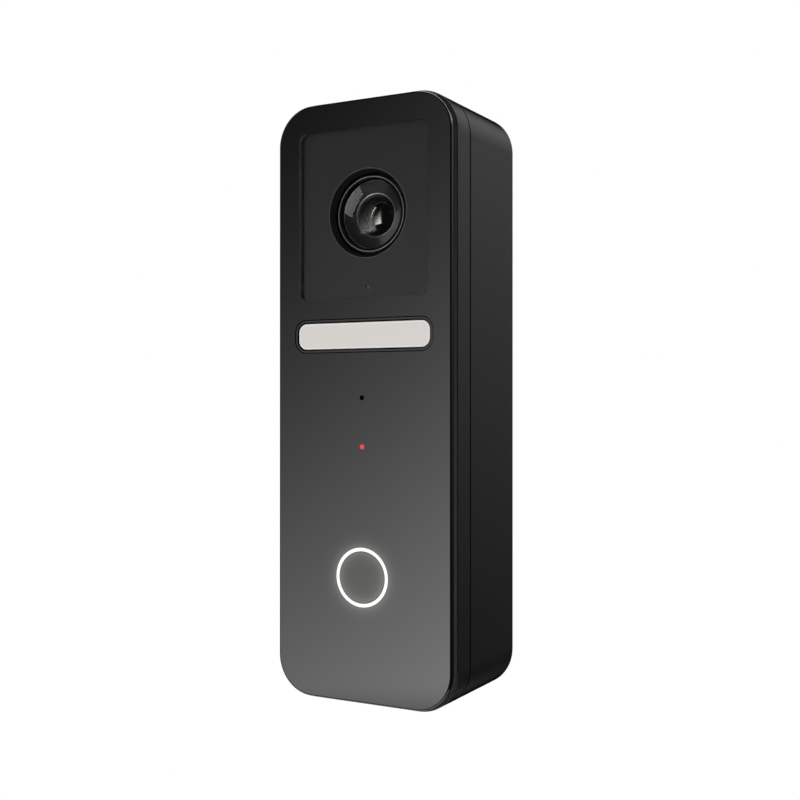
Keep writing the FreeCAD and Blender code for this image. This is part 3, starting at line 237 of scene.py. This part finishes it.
def make_lamp(name, place, size, tilt, watts):
    """A soft rectangular lamp that faces the doorbell, turned in its own plane by the tilt."""
    lamp = bpy.data.lights.new(name, "AREA")
    lamp.shape, lamp.size, lamp.size_y, lamp.energy = "RECTANGLE", size[0], size[1], watts
    holder = bpy.data.objects.new(name, lamp)
    holder.location = place
    holder.rotation_euler = (Vector(place).to_track_quat("Z", "Y") @ Quaternion((0, 0, 1), tilt)).to_euler()
    scene.collection.objects.link(holder)


def make_world():
    """White where it is looked at, and a plain level of light on everything else."""
    world = bpy.data.worlds.new("studio")
    world.use_nodes = True
    tree = world.node_tree
    tree.nodes.clear()
    seen = seen_straight(Wire(tree.nodes.new("ShaderNodeTexCoord").outputs[0]))
    strength = seen * 0.2 + 0.8
    light = seen.node("Background", {}, {"Color": (1.0, 1.0, 1.0, 1.0), "Strength": strength})
    light.node("OutputWorld", {}, {"Surface": light}, None)
    scene.world = world


def make_camera():
    """Stands to the right of the glass, level with the middle of the doorbell."""
    data = bpy.data.cameras.new("camera")
    data.lens, data.sensor_width = LENS_LENGTH, FRAME_WIDTH
    camera = bpy.data.objects.new("camera", data)
    camera.location = CAMERA_PLACE
    camera.rotation_euler = (radians(90), 0, CAMERA_TURN)
    scene.collection.objects.link(camera)
    scene.camera = camera


make_camera()
make_world()
make_floor()
make_light_walls()
make_lamp("left_lamp", LAMP_PLACE, LAMP_SIZE, LAMP_TILT, LAMP_WATTS)
scene.view_settings.view_transform = "Standard"


# ---- Wall plate ---------------------------------------------------------------------------------
# The plate stays on the wall and carries the doorbell on its side tabs. It is injection-moulded in
# glass-filled black plastic, with a coarse spark-eroded face, and two countersunk screws hold it.
def dress(material, *names):
    """Puts a material on CAD nodes."""
    for name in names:
        nodes[name].material_slots[0].material = material


def moulded_plastic(name, colour, roughness, grain, depth, specular=0.5):
    """Plastic with the fine grain of a textured mould: even pits of the given size and depth in metres, and a
    slow drift of colour and gloss over the surface."""
    material, place = start_material(name)
    pits = place.noise(1.0 / grain, 3.0, 0.6)
    drift = place.noise(60.0, 2.0)
    paint = drift.tint([c * 0.9 for c in colour], [c * 1.12 for c in colour])
    sockets = {"Base Color": paint, "Roughness": drift * 0.08 + pits * 0.10 + (roughness - 0.09),
               "Specular IOR Level": specular, "Normal": pits.bump(depth)}
    place.node("BsdfPrincipled", {}, sockets).finish()
    return material


plate_plastic = moulded_plastic("plate_plastic", (0.030, 0.030, 0.031), 0.62, 0.35 * MM, 0.02 * MM)
dress(plate_plastic, "wall_plate")


# ---- Lock screw ---------------------------------------------------------------------------------
# A small machine screw through the bottom edge keeps the doorbell on its plate. It is turned steel,
# blackened, and the thin washer under its head is plain steel.
def turned_metal(name, colour, roughness, pitch):
    """Metal with fine tool marks: a noise of the given pitch, drawn out along the width and height, which
    shifts the roughness and the normal a little, under a faint change of tone."""
    material, place = start_material(name)
    cloud = place.noise(900.0, 2.0)
    marks = place.scaled((0.4, 1.0, 0.4)).noise(1.0 / pitch, 1.0)
    paint = cloud.tint([c * 0.86 for c in colour], colour)
    sockets = {"Base Color": paint, "Metallic": 1.0, "Roughness": marks * 0.2 + cloud * 0.12 + (roughness - 0.15),
               "Normal": marks.bump(0.004 * MM)}
    place.node("BsdfPrincipled", {}, sockets).finish()
    return material


black_steel = turned_metal("black_steel", (0.11, 0.11, 0.115), 0.38, 0.12 * MM)
steel = turned_metal("steel", (0.60, 0.59, 0.57), 0.30, 0.10 * MM)
dress(black_steel, "lock_screw", "housing_screws")
dress(steel, "lock_screw_washer", "board_screws", "left_terminal_screw", "right_terminal_screw")


# ---- Rear housing -------------------------------------------------------------------------------
# The deep rear shell holds the electronics, with the recess for the wall plate at its back. Black
# polycarbonate from a finely textured mould; four screws and a silicone cord join it to the frame.
SEAM_PLACE = -21.225 * MM      # middle of the groove between the halves, from the wall
OPENING_HALF_W, OPENING_LOW, OPENING_BACK = 15.6 * MM, 18.9 * MM, -26.0 * MM    # round the window's opening


def housing_black():
    """The finely textured mould's face: even pits and a slow drift of tone, satin where it is looked at
    squarely. It is dull at grazing views, so its gloss fades there. A dull black band along the seam, wider than
    its groove, is painted shade. The walls of the opening behind the window are a paler grey: painted light that
    lifts their shade."""
    material, place = start_material("housing_plastic")
    x, y, z = place.parts()
    pits = place.noise(1.0 / (0.16 * MM), 3.0, 0.6)
    drift = place.noise(60.0, 2.0)
    along = place.node("LayerWeight", {}, {"Blend": 0.5}, "Facing").rise(0.70, 0.90)
    soft = 0.1 * MM
    # painted light: a paler grey on the walls of the opening behind the window, lifting their shade
    opening = abs(x).fade(OPENING_HALF_W, OPENING_HALF_W + soft) * z.rise(OPENING_LOW, OPENING_LOW + soft)
    opening = opening * y.fade(OPENING_BACK, OPENING_BACK + soft)
    black = drift.tint((0.0031, 0.0031, 0.0033), (0.0038, 0.0038, 0.0040))
    satin = place.node("BsdfPrincipled", {}, {
        "Base Color": opening.tint(black, (0.06, 0.06, 0.06)),
        "Roughness": drift * 0.08 + pits * 0.10 + 0.35, "Normal": pits.bump(0.003 * MM)})
    dull = place.node("BsdfDiffuse", {}, {"Color": (0.004, 0.004, 0.004, 1.0)})
    # painted shade: a dull black band within 0.22 to 0.30 mm of the seam's middle; at grazing views the gloss fades
    along.most(abs(y - SEAM_PLACE).fade(0.22 * MM, 0.30 * MM)).shade(satin, dull).finish()
    return material


dress(housing_black(), "rear_housing", "front_frame")


def soft_rubber(name, colour, cell, depth, roughness=0.85):
    """Rubber or foam: cells of the given size with dark edges, dull all over."""
    material, place = start_material(name)
    cells = place.node("TexVoronoi", {}, {"Vector": place, "Scale": 1.0 / cell}, "Distance")
    cloud = place.noise(300.0, 2.0)
    paint = (cells * 0.7 + cloud * 0.4).tint([c * 0.6 for c in colour], [c * 1.25 for c in colour])
    sockets = {"Base Color": paint, "Roughness": cloud * 0.15 + (roughness - 0.1), "Normal": cells.bump(depth)}
    place.node("BsdfPrincipled", {}, sockets).finish()
    return material


silicone = soft_rubber("silicone", (0.008, 0.008, 0.008), 0.4 * MM, 0.004 * MM, 0.6)
foam = soft_rubber("foam", (0.030, 0.030, 0.032), 0.25 * MM, 0.05 * MM)
adhesive = soft_rubber("adhesive_black", (0.004, 0.004, 0.004), 0.8 * MM, 0.003 * MM, 0.5)
thermal = soft_rubber("thermal", (0.35, 0.42, 0.50), 0.3 * MM, 0.01 * MM, 0.7)
dress(silicone, "housing_seal", "button_seal")
dress(foam, "speaker_gasket", "microphone_gasket")
dress(adhesive, "glass_adhesive")
dress(thermal, "thermal_pad")
label_grey = moulded_plastic("label_grey", (0.30, 0.30, 0.31), 0.55, 0.5 * MM, 0.003 * MM)
dress(label_grey, "back_label")


# ---- Wire terminals -----------------------------------------------------------------------------
# Two brass plates in a black block take the bell wires, each under a square clamp on its screw.
brass = turned_metal("brass", (0.78, 0.60, 0.28), 0.32, 0.15 * MM)
dress(brass, "terminal_plates", "left_terminal_clamp", "right_terminal_clamp", "speaker_contacts")
satin_black = moulded_plastic("satin_black", (0.018, 0.018, 0.0185), 0.38, 0.20 * MM, 0.003 * MM)
dress(satin_black, "terminal_block", "speaker", "lens_holder",
      "switch_body", "speaker_diaphragm", "power_supply")


# ---- Boards and chips ---------------------------------------------------------------------------
# Three green boards carry the electronics: the chips, cans and lamps are soldered to them.
def circuit_board(name):
    """Solder mask over copper: a darker green between the tracks, which are narrow bands at one distance from
    the cells of a square-sided Voronoi pattern, laid flat on the board."""
    material, place = start_material(name)
    flat = place.scaled((1.0, 0.0, 1.0))
    track = flat.node("TexVoronoi", {"distance": "MANHATTAN"},
                      {"Vector": flat, "Scale": 700.0, "Randomness": 0.7}, "Distance")
    line = abs(track - 0.42).fade(0.03, 0.07)
    mask = line.tint((0.010, 0.075, 0.035), (0.022, 0.150, 0.070))
    sockets = {"Base Color": mask, "Roughness": line * 0.08 + 0.30, "Normal": line.bump(0.03 * MM)}
    place.node("BsdfPrincipled", {}, sockets).finish()
    return material


board = circuit_board("board")
chip = moulded_plastic("chip", (0.020, 0.020, 0.022), 0.50, 0.10 * MM, 0.004 * MM)
can_metal = turned_metal("can_metal", (0.62, 0.62, 0.60), 0.34, 0.30 * MM)
heat_metal = turned_metal("heat_metal", (0.72, 0.73, 0.74), 0.36, 0.25 * MM)
lamp_face = moulded_plastic("lamp", (0.85, 0.75, 0.35), 0.30, 0.4 * MM, 0.004 * MM)
flex = moulded_plastic("flex", (0.55, 0.27, 0.06), 0.36, 0.6 * MM, 0.004 * MM)
cloth = soft_rubber("mesh_cloth", (0.020, 0.020, 0.020), 0.22 * MM, 0.05 * MM)
dress(board, "main_board", "camera_board", "button_board", "night_light_board")
dress(chip, "processor", "memory_chips", "image_sensor", "light_sensor", "microphone")
dress(can_metal, "processor_shield", "radio_module")
dress(heat_metal, "heat_spreader", "antenna")
dress(lamp_face, "night_light_leds", "ring_leds", "status_led")
dress(flex, "flat_cables")
dress(cloth, "speaker_mesh")


# ---- Camera -------------------------------------------------------------------------------------
# The camera looks out through a wide dome lens in a black barrel behind the window. The glass is
# coated and held by the barrel's rolled lip; a matt cone and a thin aperture ring lie behind it.
LENS_AXIS = 37.0            # millimetres, like all sizes of the lens
GLASS_FRONT = -28.4
DOME_BALL, DOME_CROWN, DOME_EDGE_R = 15.0, 1.65, 7.15
DOME_BACK_BALL, DOME_BACK_CROWN, DOME_CLEAR_R = 16.4, 2.95, 6.80
SECOND_BALL, SECOND_CROWN = 6.5, 6.10
SECOND_BACK_BALL, SECOND_BACK_CROWN, SECOND_CLEAR_R = 5.5, 8.0, 3.0
LIP_R, SEAT_LIP_R, STOP_R = 7.40, 6.80, 4.30      # the barrel's three bright edges
TRIM_EDGE_R = 8.80
TURN_STEPS = 128


def ball_cap(ball, crown, reach, hollow=False, steps=24):
    """Radius and depth along a ball's cap, from the axis to the radius reach: the depth grows from the crown
    by ball minus root of ball squared less radius squared, or shrinks by it on a back that bulges."""
    radius = reach * np.sin(np.linspace(0, np.pi / 2, steps))
    drop = ball - np.sqrt(ball ** 2 - radius ** 2)
    return np.stack([radius, crown - drop if hollow else crown + drop], axis=-1)


def round_lip(radius, depth, size, start, end, steps=8):
    """Radius and depth along an arc of the given size, from the start angle to the end angle; at 90 degrees
    the arc faces the front, and at 0 it faces away from the axis."""
    angle = np.radians(np.linspace(start, end, steps))
    return np.stack([radius + size * np.cos(angle), depth - size * np.sin(angle)], axis=-1)


def turned_piece(name, profile, material, *stands_for, slot, body="doorbell", sharp=40):
    """Carries a profile of radius and depth round the lens's axis: across is radius times cosine of the turn,
    up is radius times sine, and the depth stays. A profile from axis to axis closes in two poles, and any
    other joins its last point to its first. Faces are turned outwards by the sign of the enclosed volume."""
    profile = np.asarray(profile, float)
    on_axis = profile[0, 0] < 1e-9
    run = (profile[1:] if on_axis else np.roll(profile, -1, axis=0)) - (profile[:-1] if on_axis else profile)
    start = profile[:-1] if on_axis else profile
    length = np.hypot(*run.T)[:, None]
    near = np.minimum(0.04 / length, 0.5)
    kept = np.stack([start, start + run * near, start + run * (1 - near)], axis=1)
    wanted = np.stack([length[:, 0] > 0, length[:, 0] > 0.3, length[:, 0] > 0.3], axis=1)
    profile = np.vstack([kept[wanted], profile[-1:]] if on_axis else [kept[wanted]])
    ring = profile[1:-1] if on_axis else profile
    turn = np.linspace(0, 2 * np.pi, TURN_STEPS, endpoint=False)
    points = np.stack([ring[:, :1] * np.cos(turn), np.broadcast_to(ring[:, 1:], (len(ring), TURN_STEPS)),
                       ring[:, :1] * np.sin(turn)], axis=-1).reshape(-1, 3)
    sides, poles = grid_faces(len(ring) + 1, TURN_STEPS, wrap=True) % len(points), np.empty((0, 3), int)
    if on_axis:
        here = np.arange(TURN_STEPS)
        after, end = (here + 1) % TURN_STEPS, len(points) - TURN_STEPS
        sides = grid_faces(len(ring), TURN_STEPS, wrap=True)
        poles = np.vstack([np.stack([here * 0 + len(points), after, here], axis=-1),
                           np.stack([here * 0 + len(points) + 1, here + end, after + end], axis=-1)])
        points = np.vstack([points, [0, profile[0, 1], 0], [0, profile[-1, 1], 0]])
    corners = points[np.vstack([sides[:, [0, 1, 2]], sides[:, [0, 2, 3]], poles])]
    if np.sum(corners[:, 0] * np.cross(corners[:, 1], corners[:, 2])) < 0:
        sides, poles = sides[:, ::-1], poles[:, ::-1]
    place = (points + [0, GLASS_FRONT, LENS_AXIS]) * MM
    piece = mesh_piece(name, place, [*sides.tolist(), *poles.tolist()], material)
    piece.data.set_sharp_from_angle(angle=radians(sharp))
    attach(piece, body)
    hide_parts(*stands_for)
    return piece


def from_axis(place):
    """How far a place lies from the lens's axis, in metres."""
    x, y, z = place.parts()
    return (x.power(2.0) + (z - LENS_AXIS * MM).power(2.0)).power(0.5)


def lens_glass(name, tone, index, both_ways, black_from=None):
    """Coated lens glass: clear, with a mirror share that rises towards grazing views, tinted by its coating. It
    mirrors from outside alone unless both_ways. Its outer zone is black where black_from gives a radius."""
    material, place = start_material(name)
    clear = place.node("BsdfTransparent", {}, {"Color": (0.96, 0.97, 0.97, 1.0)})
    shine = place.node("BsdfGlossy", {}, {"Color": colour_of(tone), "Roughness": 0.0})
    share = place.node("Fresnel", {}, {"IOR": index})
    if not both_ways:
        share = share * (1.0 - place.node("NewGeometry", {}, {}, "Backfacing"))
    glass = share.shade(clear, shine)
    if black_from:
        paint = place.node("BsdfDiffuse", {}, {"Color": (0.010, 0.010, 0.010, 1.0)})
        glass = from_axis(place).rise((black_from - 0.03) * MM, black_from * MM).shade(glass, paint)
    glass.finish()
    return material


def barrel_black():
    """Anodised black, worn through to bare aluminium along the edges of its lips."""
    material, place = start_material("barrel_black")
    away = from_axis(place)
    cloud = place.noise(500.0, 2.0)
    worn = abs(away - LIP_R * MM).fade(0.05 * MM, 0.13 * MM) * 0.6
    worn = worn + abs(away - STOP_R * MM).fade(0.06 * MM, 0.14 * MM)
    worn = (worn + abs(away - SEAT_LIP_R * MM).fade(0.04 * MM, 0.09 * MM) * 0.6).least(1.0)
    paint = worn.tint((0.024, 0.024, 0.0245), (0.50, 0.50, 0.50))
    sockets = {"Base Color": paint, "Metallic": worn, "Roughness": cloud * 0.08 + 0.16}
    place.node("BsdfPrincipled", {}, sockets).finish()
    return material


def trim_black():
    """Matt black, glossier along the edge of its bead, where a paler grey, a little uneven, is a painted highlight.
    """
    material, place = start_material("trim_black")
    edge = abs(from_axis(place) - TRIM_EDGE_R * MM).fade(0.04 * MM, 0.10 * MM) * (place.noise(400.0) * 0.5 + 0.7)
    # painted highlight: the bead's edge is a paler grey in the base colour
    sockets = {"Base Color": edge.tint((0.009, 0.009, 0.009), (0.12, 0.12, 0.12)),
               "Roughness": edge * -0.3 + 0.7, "Specular IOR Level": 0.1}
    place.node("BsdfPrincipled", {}, sockets).finish()
    return material


dome_glass = lens_glass("dome_glass", (1.0, 1.0, 1.0), 1.52, both_ways=False, black_from=6.85)
inner_glass = lens_glass("inner_glass", (1.0, 0.99, 0.90), 3.0, both_ways=True, black_from=3.0)
turned_piece("dome_lens", np.vstack([
    ball_cap(DOME_BALL, DOME_CROWN, DOME_EDGE_R - 0.05), [(DOME_EDGE_R, 3.50), (DOME_EDGE_R, 4.60), (7.0, 4.75)],
    ball_cap(DOME_BACK_BALL, DOME_BACK_CROWN, DOME_CLEAR_R)[::-1]]),
    dome_glass, "front_lens", slot="lens_glass")
turned_piece("lens_tube", np.vstack([
    [(7.88, 12.4), (7.88, 3.95), (7.62, 3.80)], round_lip(LIP_R, 3.50, 0.14, 0, 180),
    [(7.20, 3.9), (7.20, 4.85), (6.90, 4.85)], round_lip(SEAT_LIP_R, 4.66, 0.08, 0, 110), [(6.70, 4.72)],
    round_lip(4.36, 5.62, 0.15, 80, 180), [(4.18, 5.95), (4.05, 6.0), (4.05, 6.2), (3.9, 6.22)],
    [(5.05, 6.3), (5.05, 7.15), (5.05, 9.0), (3.1, 9.05), (3.1, 9.4), (2.9, 9.45), (2.9, 9.8), (3.40, 9.85),
     (3.40, 11.9), (2.85, 11.95), (2.85, 12.4)]]),
    barrel_black(), "lens_barrel", slot="satin_black")
turned_piece("inner_lens", np.vstack([
    ball_cap(SECOND_BALL, SECOND_CROWN, SECOND_CLEAR_R), [(3.2, 6.92), (4.95, 6.95), (4.95, 7.6), (3.2, 7.6)],
    ball_cap(SECOND_BACK_BALL, SECOND_BACK_CROWN, SECOND_CLEAR_R, hollow=True)[::-1]]),
    inner_glass, "second_lens", slot="lens_glass")
turned_piece("window_trim", np.vstack([
    round_lip(8.78, 2.14, 0.09, 0, 150), [(8.62, 2.40), (8.12, 3.3), (8.10, 3.8), (8.86, 3.8)]]),
    trim_black(), "lens_trim_ring", slot="satin_black")
dress(lens_glass("rear_glass", (0.75, 0.70, 1.0), 1.7, both_ways=False), "rear_lens")
dress(lens_glass("filter_glass", (0.9, 0.5, 0.4), 1.6, both_ways=False), "infrared_filter")
carrier_black = moulded_plastic("carrier_black", (0.0112, 0.0112, 0.0117), 0.32, 0.60 * MM, 0.00005 * MM, 0.55)
dress(carrier_black, "camera_carrier")


# ---- Night light, button and status light -------------------------------------------------------
# The bar is a matt white diffuser in a dark ring, and the button is a gloss black cap in a ring that
# leads light. All of them, and the red light's pipe, stand in holes of the glass.
BAR_HEIGHT = 12.85 * MM
BAR_HALF_W, BAR_HALF_H, BAR_CORNER, BAR_RING = 15.64 * MM, 3.37 * MM, 2.60 * MM, 0.72 * MM


def rounded_distance(across, up, half_w, half_h, corner):
    """How far outside a rounded rectangle a place lies, and below 0 within it."""
    beside = abs(across) - (half_w - corner)
    above = abs(up) - (half_h - corner)
    away = (beside.most(0.0).power(2.0) + above.most(0.0).power(2.0)).power(0.5)
    return away + beside.most(above).least(0.0) - corner


def ring_grey():
    """Dark grey plastic with a satin face along the middle of the ring, and dull black edges on both sides that are
    painted shade, standing for the gaps beside the ring.
    """
    material, place = start_material("ring_grey")
    x, y, z = place.parts()
    edge = rounded_distance(x, z - BAR_HEIGHT, BAR_HALF_W, BAR_HALF_H, BAR_CORNER)
    face = abs(edge + BAR_RING * 0.5).fade(0.14 * MM, 0.22 * MM)
    cloud = place.noise(400.0, 2.0)
    satin = place.node("BsdfPrincipled", {}, {"Base Color": cloud.tint((0.012, 0.012, 0.0125), (0.020, 0.020, 0.021)),
                                              "Roughness": cloud * 0.1 + 0.22})
    # painted shade: the dull black edges of the ring stand for the gaps beside it
    dull = place.node("BsdfDiffuse", {}, {"Color": (0.0015, 0.0015, 0.0015, 1.0)})
    face.shade(dull, satin).finish()
    return material


dress(ring_grey(), "night_light_frame")


def diffuser_white():
    """Milky plastic, with a painted highlight along its edges: paler there, where the light inside it gathers."""
    material, place = start_material("diffuser_white")
    x, y, z = place.parts()
    inner = rounded_distance(x, z - BAR_HEIGHT, BAR_HALF_W - BAR_RING, BAR_HALF_H - BAR_RING, BAR_CORNER - BAR_RING)
    cloud = place.noise(60.0, 2.0)
    # painted highlight: a paler base colour within 0.20 to 0.55 mm of the diffuser's edge
    paint = (inner.rise(-0.55 * MM, -0.20 * MM) + cloud * 0.10).tint((0.765, 0.725, 0.690), (0.97, 0.95, 0.93))
    sockets = {"Base Color": paint, "Roughness": cloud * 0.1 + 0.25}
    place.node("BsdfPrincipled", {}, sockets).finish()
    return material


dress(diffuser_white(), "night_light_diffuser")

BUTTON_HEIGHT = -34.45 * MM
RING_INNER, RING_OUTER = 5.13 * MM, 5.87 * MM
BAND_MIDDLE, BAND_HALF_W = 5.48 * MM, 0.37 * MM       # the part of the ring's face that is lit
# colour of the ring's light, painted as a glow onto the button cap and onto the glass round it
PAINTED_RING_GLOW = (0.095, 0.092, 0.086)


def from_button(place):
    """How far a place lies from the button's axis, in metres."""
    x, y, z = place.parts()
    return (x.power(2.0) + (z - BUTTON_HEIGHT).power(2.0)).power(0.5)


def lit_plastic(name, colour, glow, edges=None):
    """Light guide with lamps behind it: its own colour and the light that leaves it, a little uneven. Round the
    button, edges gives the middle and half the width of the band that lights, between dark edges."""
    material, place = start_material(name)
    cloud = place.noise(250.0, 1.0)
    lit = abs(from_button(place) - edges[0]).fade(edges[1] - 0.05 * MM, edges[1]) if edges else 1.0
    paint = (cloud * 0.06 + 0.94) * lit
    paint, light = [paint.tint((0.0, 0.0, 0.0), full) for full in (colour, glow)]
    sockets = {"Base Color": paint, "Roughness": cloud * 0.1 + 0.28, "Emission Color": light,
               "Emission Strength": 1.0}
    place.node("BsdfPrincipled", {}, sockets).finish()
    return material


def button_face():
    """Gloss black, with a painted glow of the ring's light creeping in from its edge, and faint smears where fingers
    press.
    """
    material, place = start_material("button_face")
    away = from_button(place)
    smears = place.scaled((1.0, 1.0, 0.35)).noise(260.0, 3.0, 0.6)
    # painted glow: emission near the ring's inner edge stands for the ring's light on the cap
    light = (RING_INNER - away).falloff(0.0, 0.9 * MM).tint((0.006, 0.0055, 0.004), [c * 1.3 for c in PAINTED_RING_GLOW])
    sockets = {"Base Color": smears.tint((0.004, 0.004, 0.004), (0.007, 0.007, 0.007)),
               "Roughness": smears * 0.10 + 0.02, "Emission Color": light, "Emission Strength": 1.0}
    place.node("BsdfPrincipled", {}, sockets).finish()
    return material


dress(lit_plastic("light_guide", (0.50, 0.50, 0.49), (0.66, 0.655, 0.64), (BAND_MIDDLE, BAND_HALF_W)),
      "button_light_ring")
dress(lit_plastic("status_red", (0.27, 0.020, 0.024), (0.55, 0.028, 0.033)), "status_light_pipe")
dress(lit_plastic("clear_pipe", (0.45, 0.45, 0.46), (0.0, 0.0, 0.0)), "sensor_light_pipe")
dress(button_face(), "button_cap")
dress(moulded_plastic("plunger", (0.02, 0.02, 0.02), 0.3, 0.4 * MM, 0.001 * MM), "switch_plunger")


# ---- Cover glass --------------------------------------------------------------------------------
# One flat sheet of toughened glass with rounded edges covers the whole front. It is printed in black
# ink, with the window left clear, drilled for the bar, button and lights, and bonded to the frame.
GLASS_BACK = -27.3 * MM
WINDOW_HALF_W = 14.67 * MM
WINDOW_LOW = 20.1 * MM
WINDOW_HIGH = 53.5 * MM
WINDOW_CORNER = 1.8 * MM


def cover_glass():
    """Glass with black ink, all over but for a window over the camera. The ink is drawn on the front and the
    edge, not on the flat back, so that light that comes through the window isn't caught between two layers."""
    material, place = start_material("cover_glass")
    x, y, z = place.parts()
    middle = (WINDOW_LOW + WINDOW_HIGH) / 2
    edge = rounded_distance(x, z - middle, WINDOW_HALF_W, (WINDOW_HIGH - WINDOW_LOW) / 2, WINDOW_CORNER)
    # painted glow: the ring's light on the ink round the button, drawn as emission
    painted_ring_glow = from_button(place).falloff(RING_OUTER, 0.85 * MM).tint((0.0, 0.0, 0.0), PAINTED_RING_GLOW)
    smears = place.scaled((1.0, 1.0, 0.4)).noise(120.0, 3.0, 0.6)
    ink = place.node("BsdfPrincipled", {}, {
        "Base Color": smears.tint((0.0036, 0.0036, 0.0038), (0.0048, 0.0048, 0.0050)),
        "Roughness": smears * 0.05 + 0.01, "Emission Color": painted_ring_glow, "Emission Strength": 1.0})
    clear = place.node("BsdfTransparent", {}, {"Color": (0.96, 0.96, 0.96, 1.0)})
    outside = (1.0 - place.node("NewGeometry", {}, {}, "Backfacing")) * y.fade(GLASS_BACK - 0.06 * MM, GLASS_BACK - 0.02 * MM)
    (edge.rise(-0.25 * MM, 0.10 * MM) * outside).shade(clear, ink).finish()
    return material


dress(cover_glass(), "front_glass")
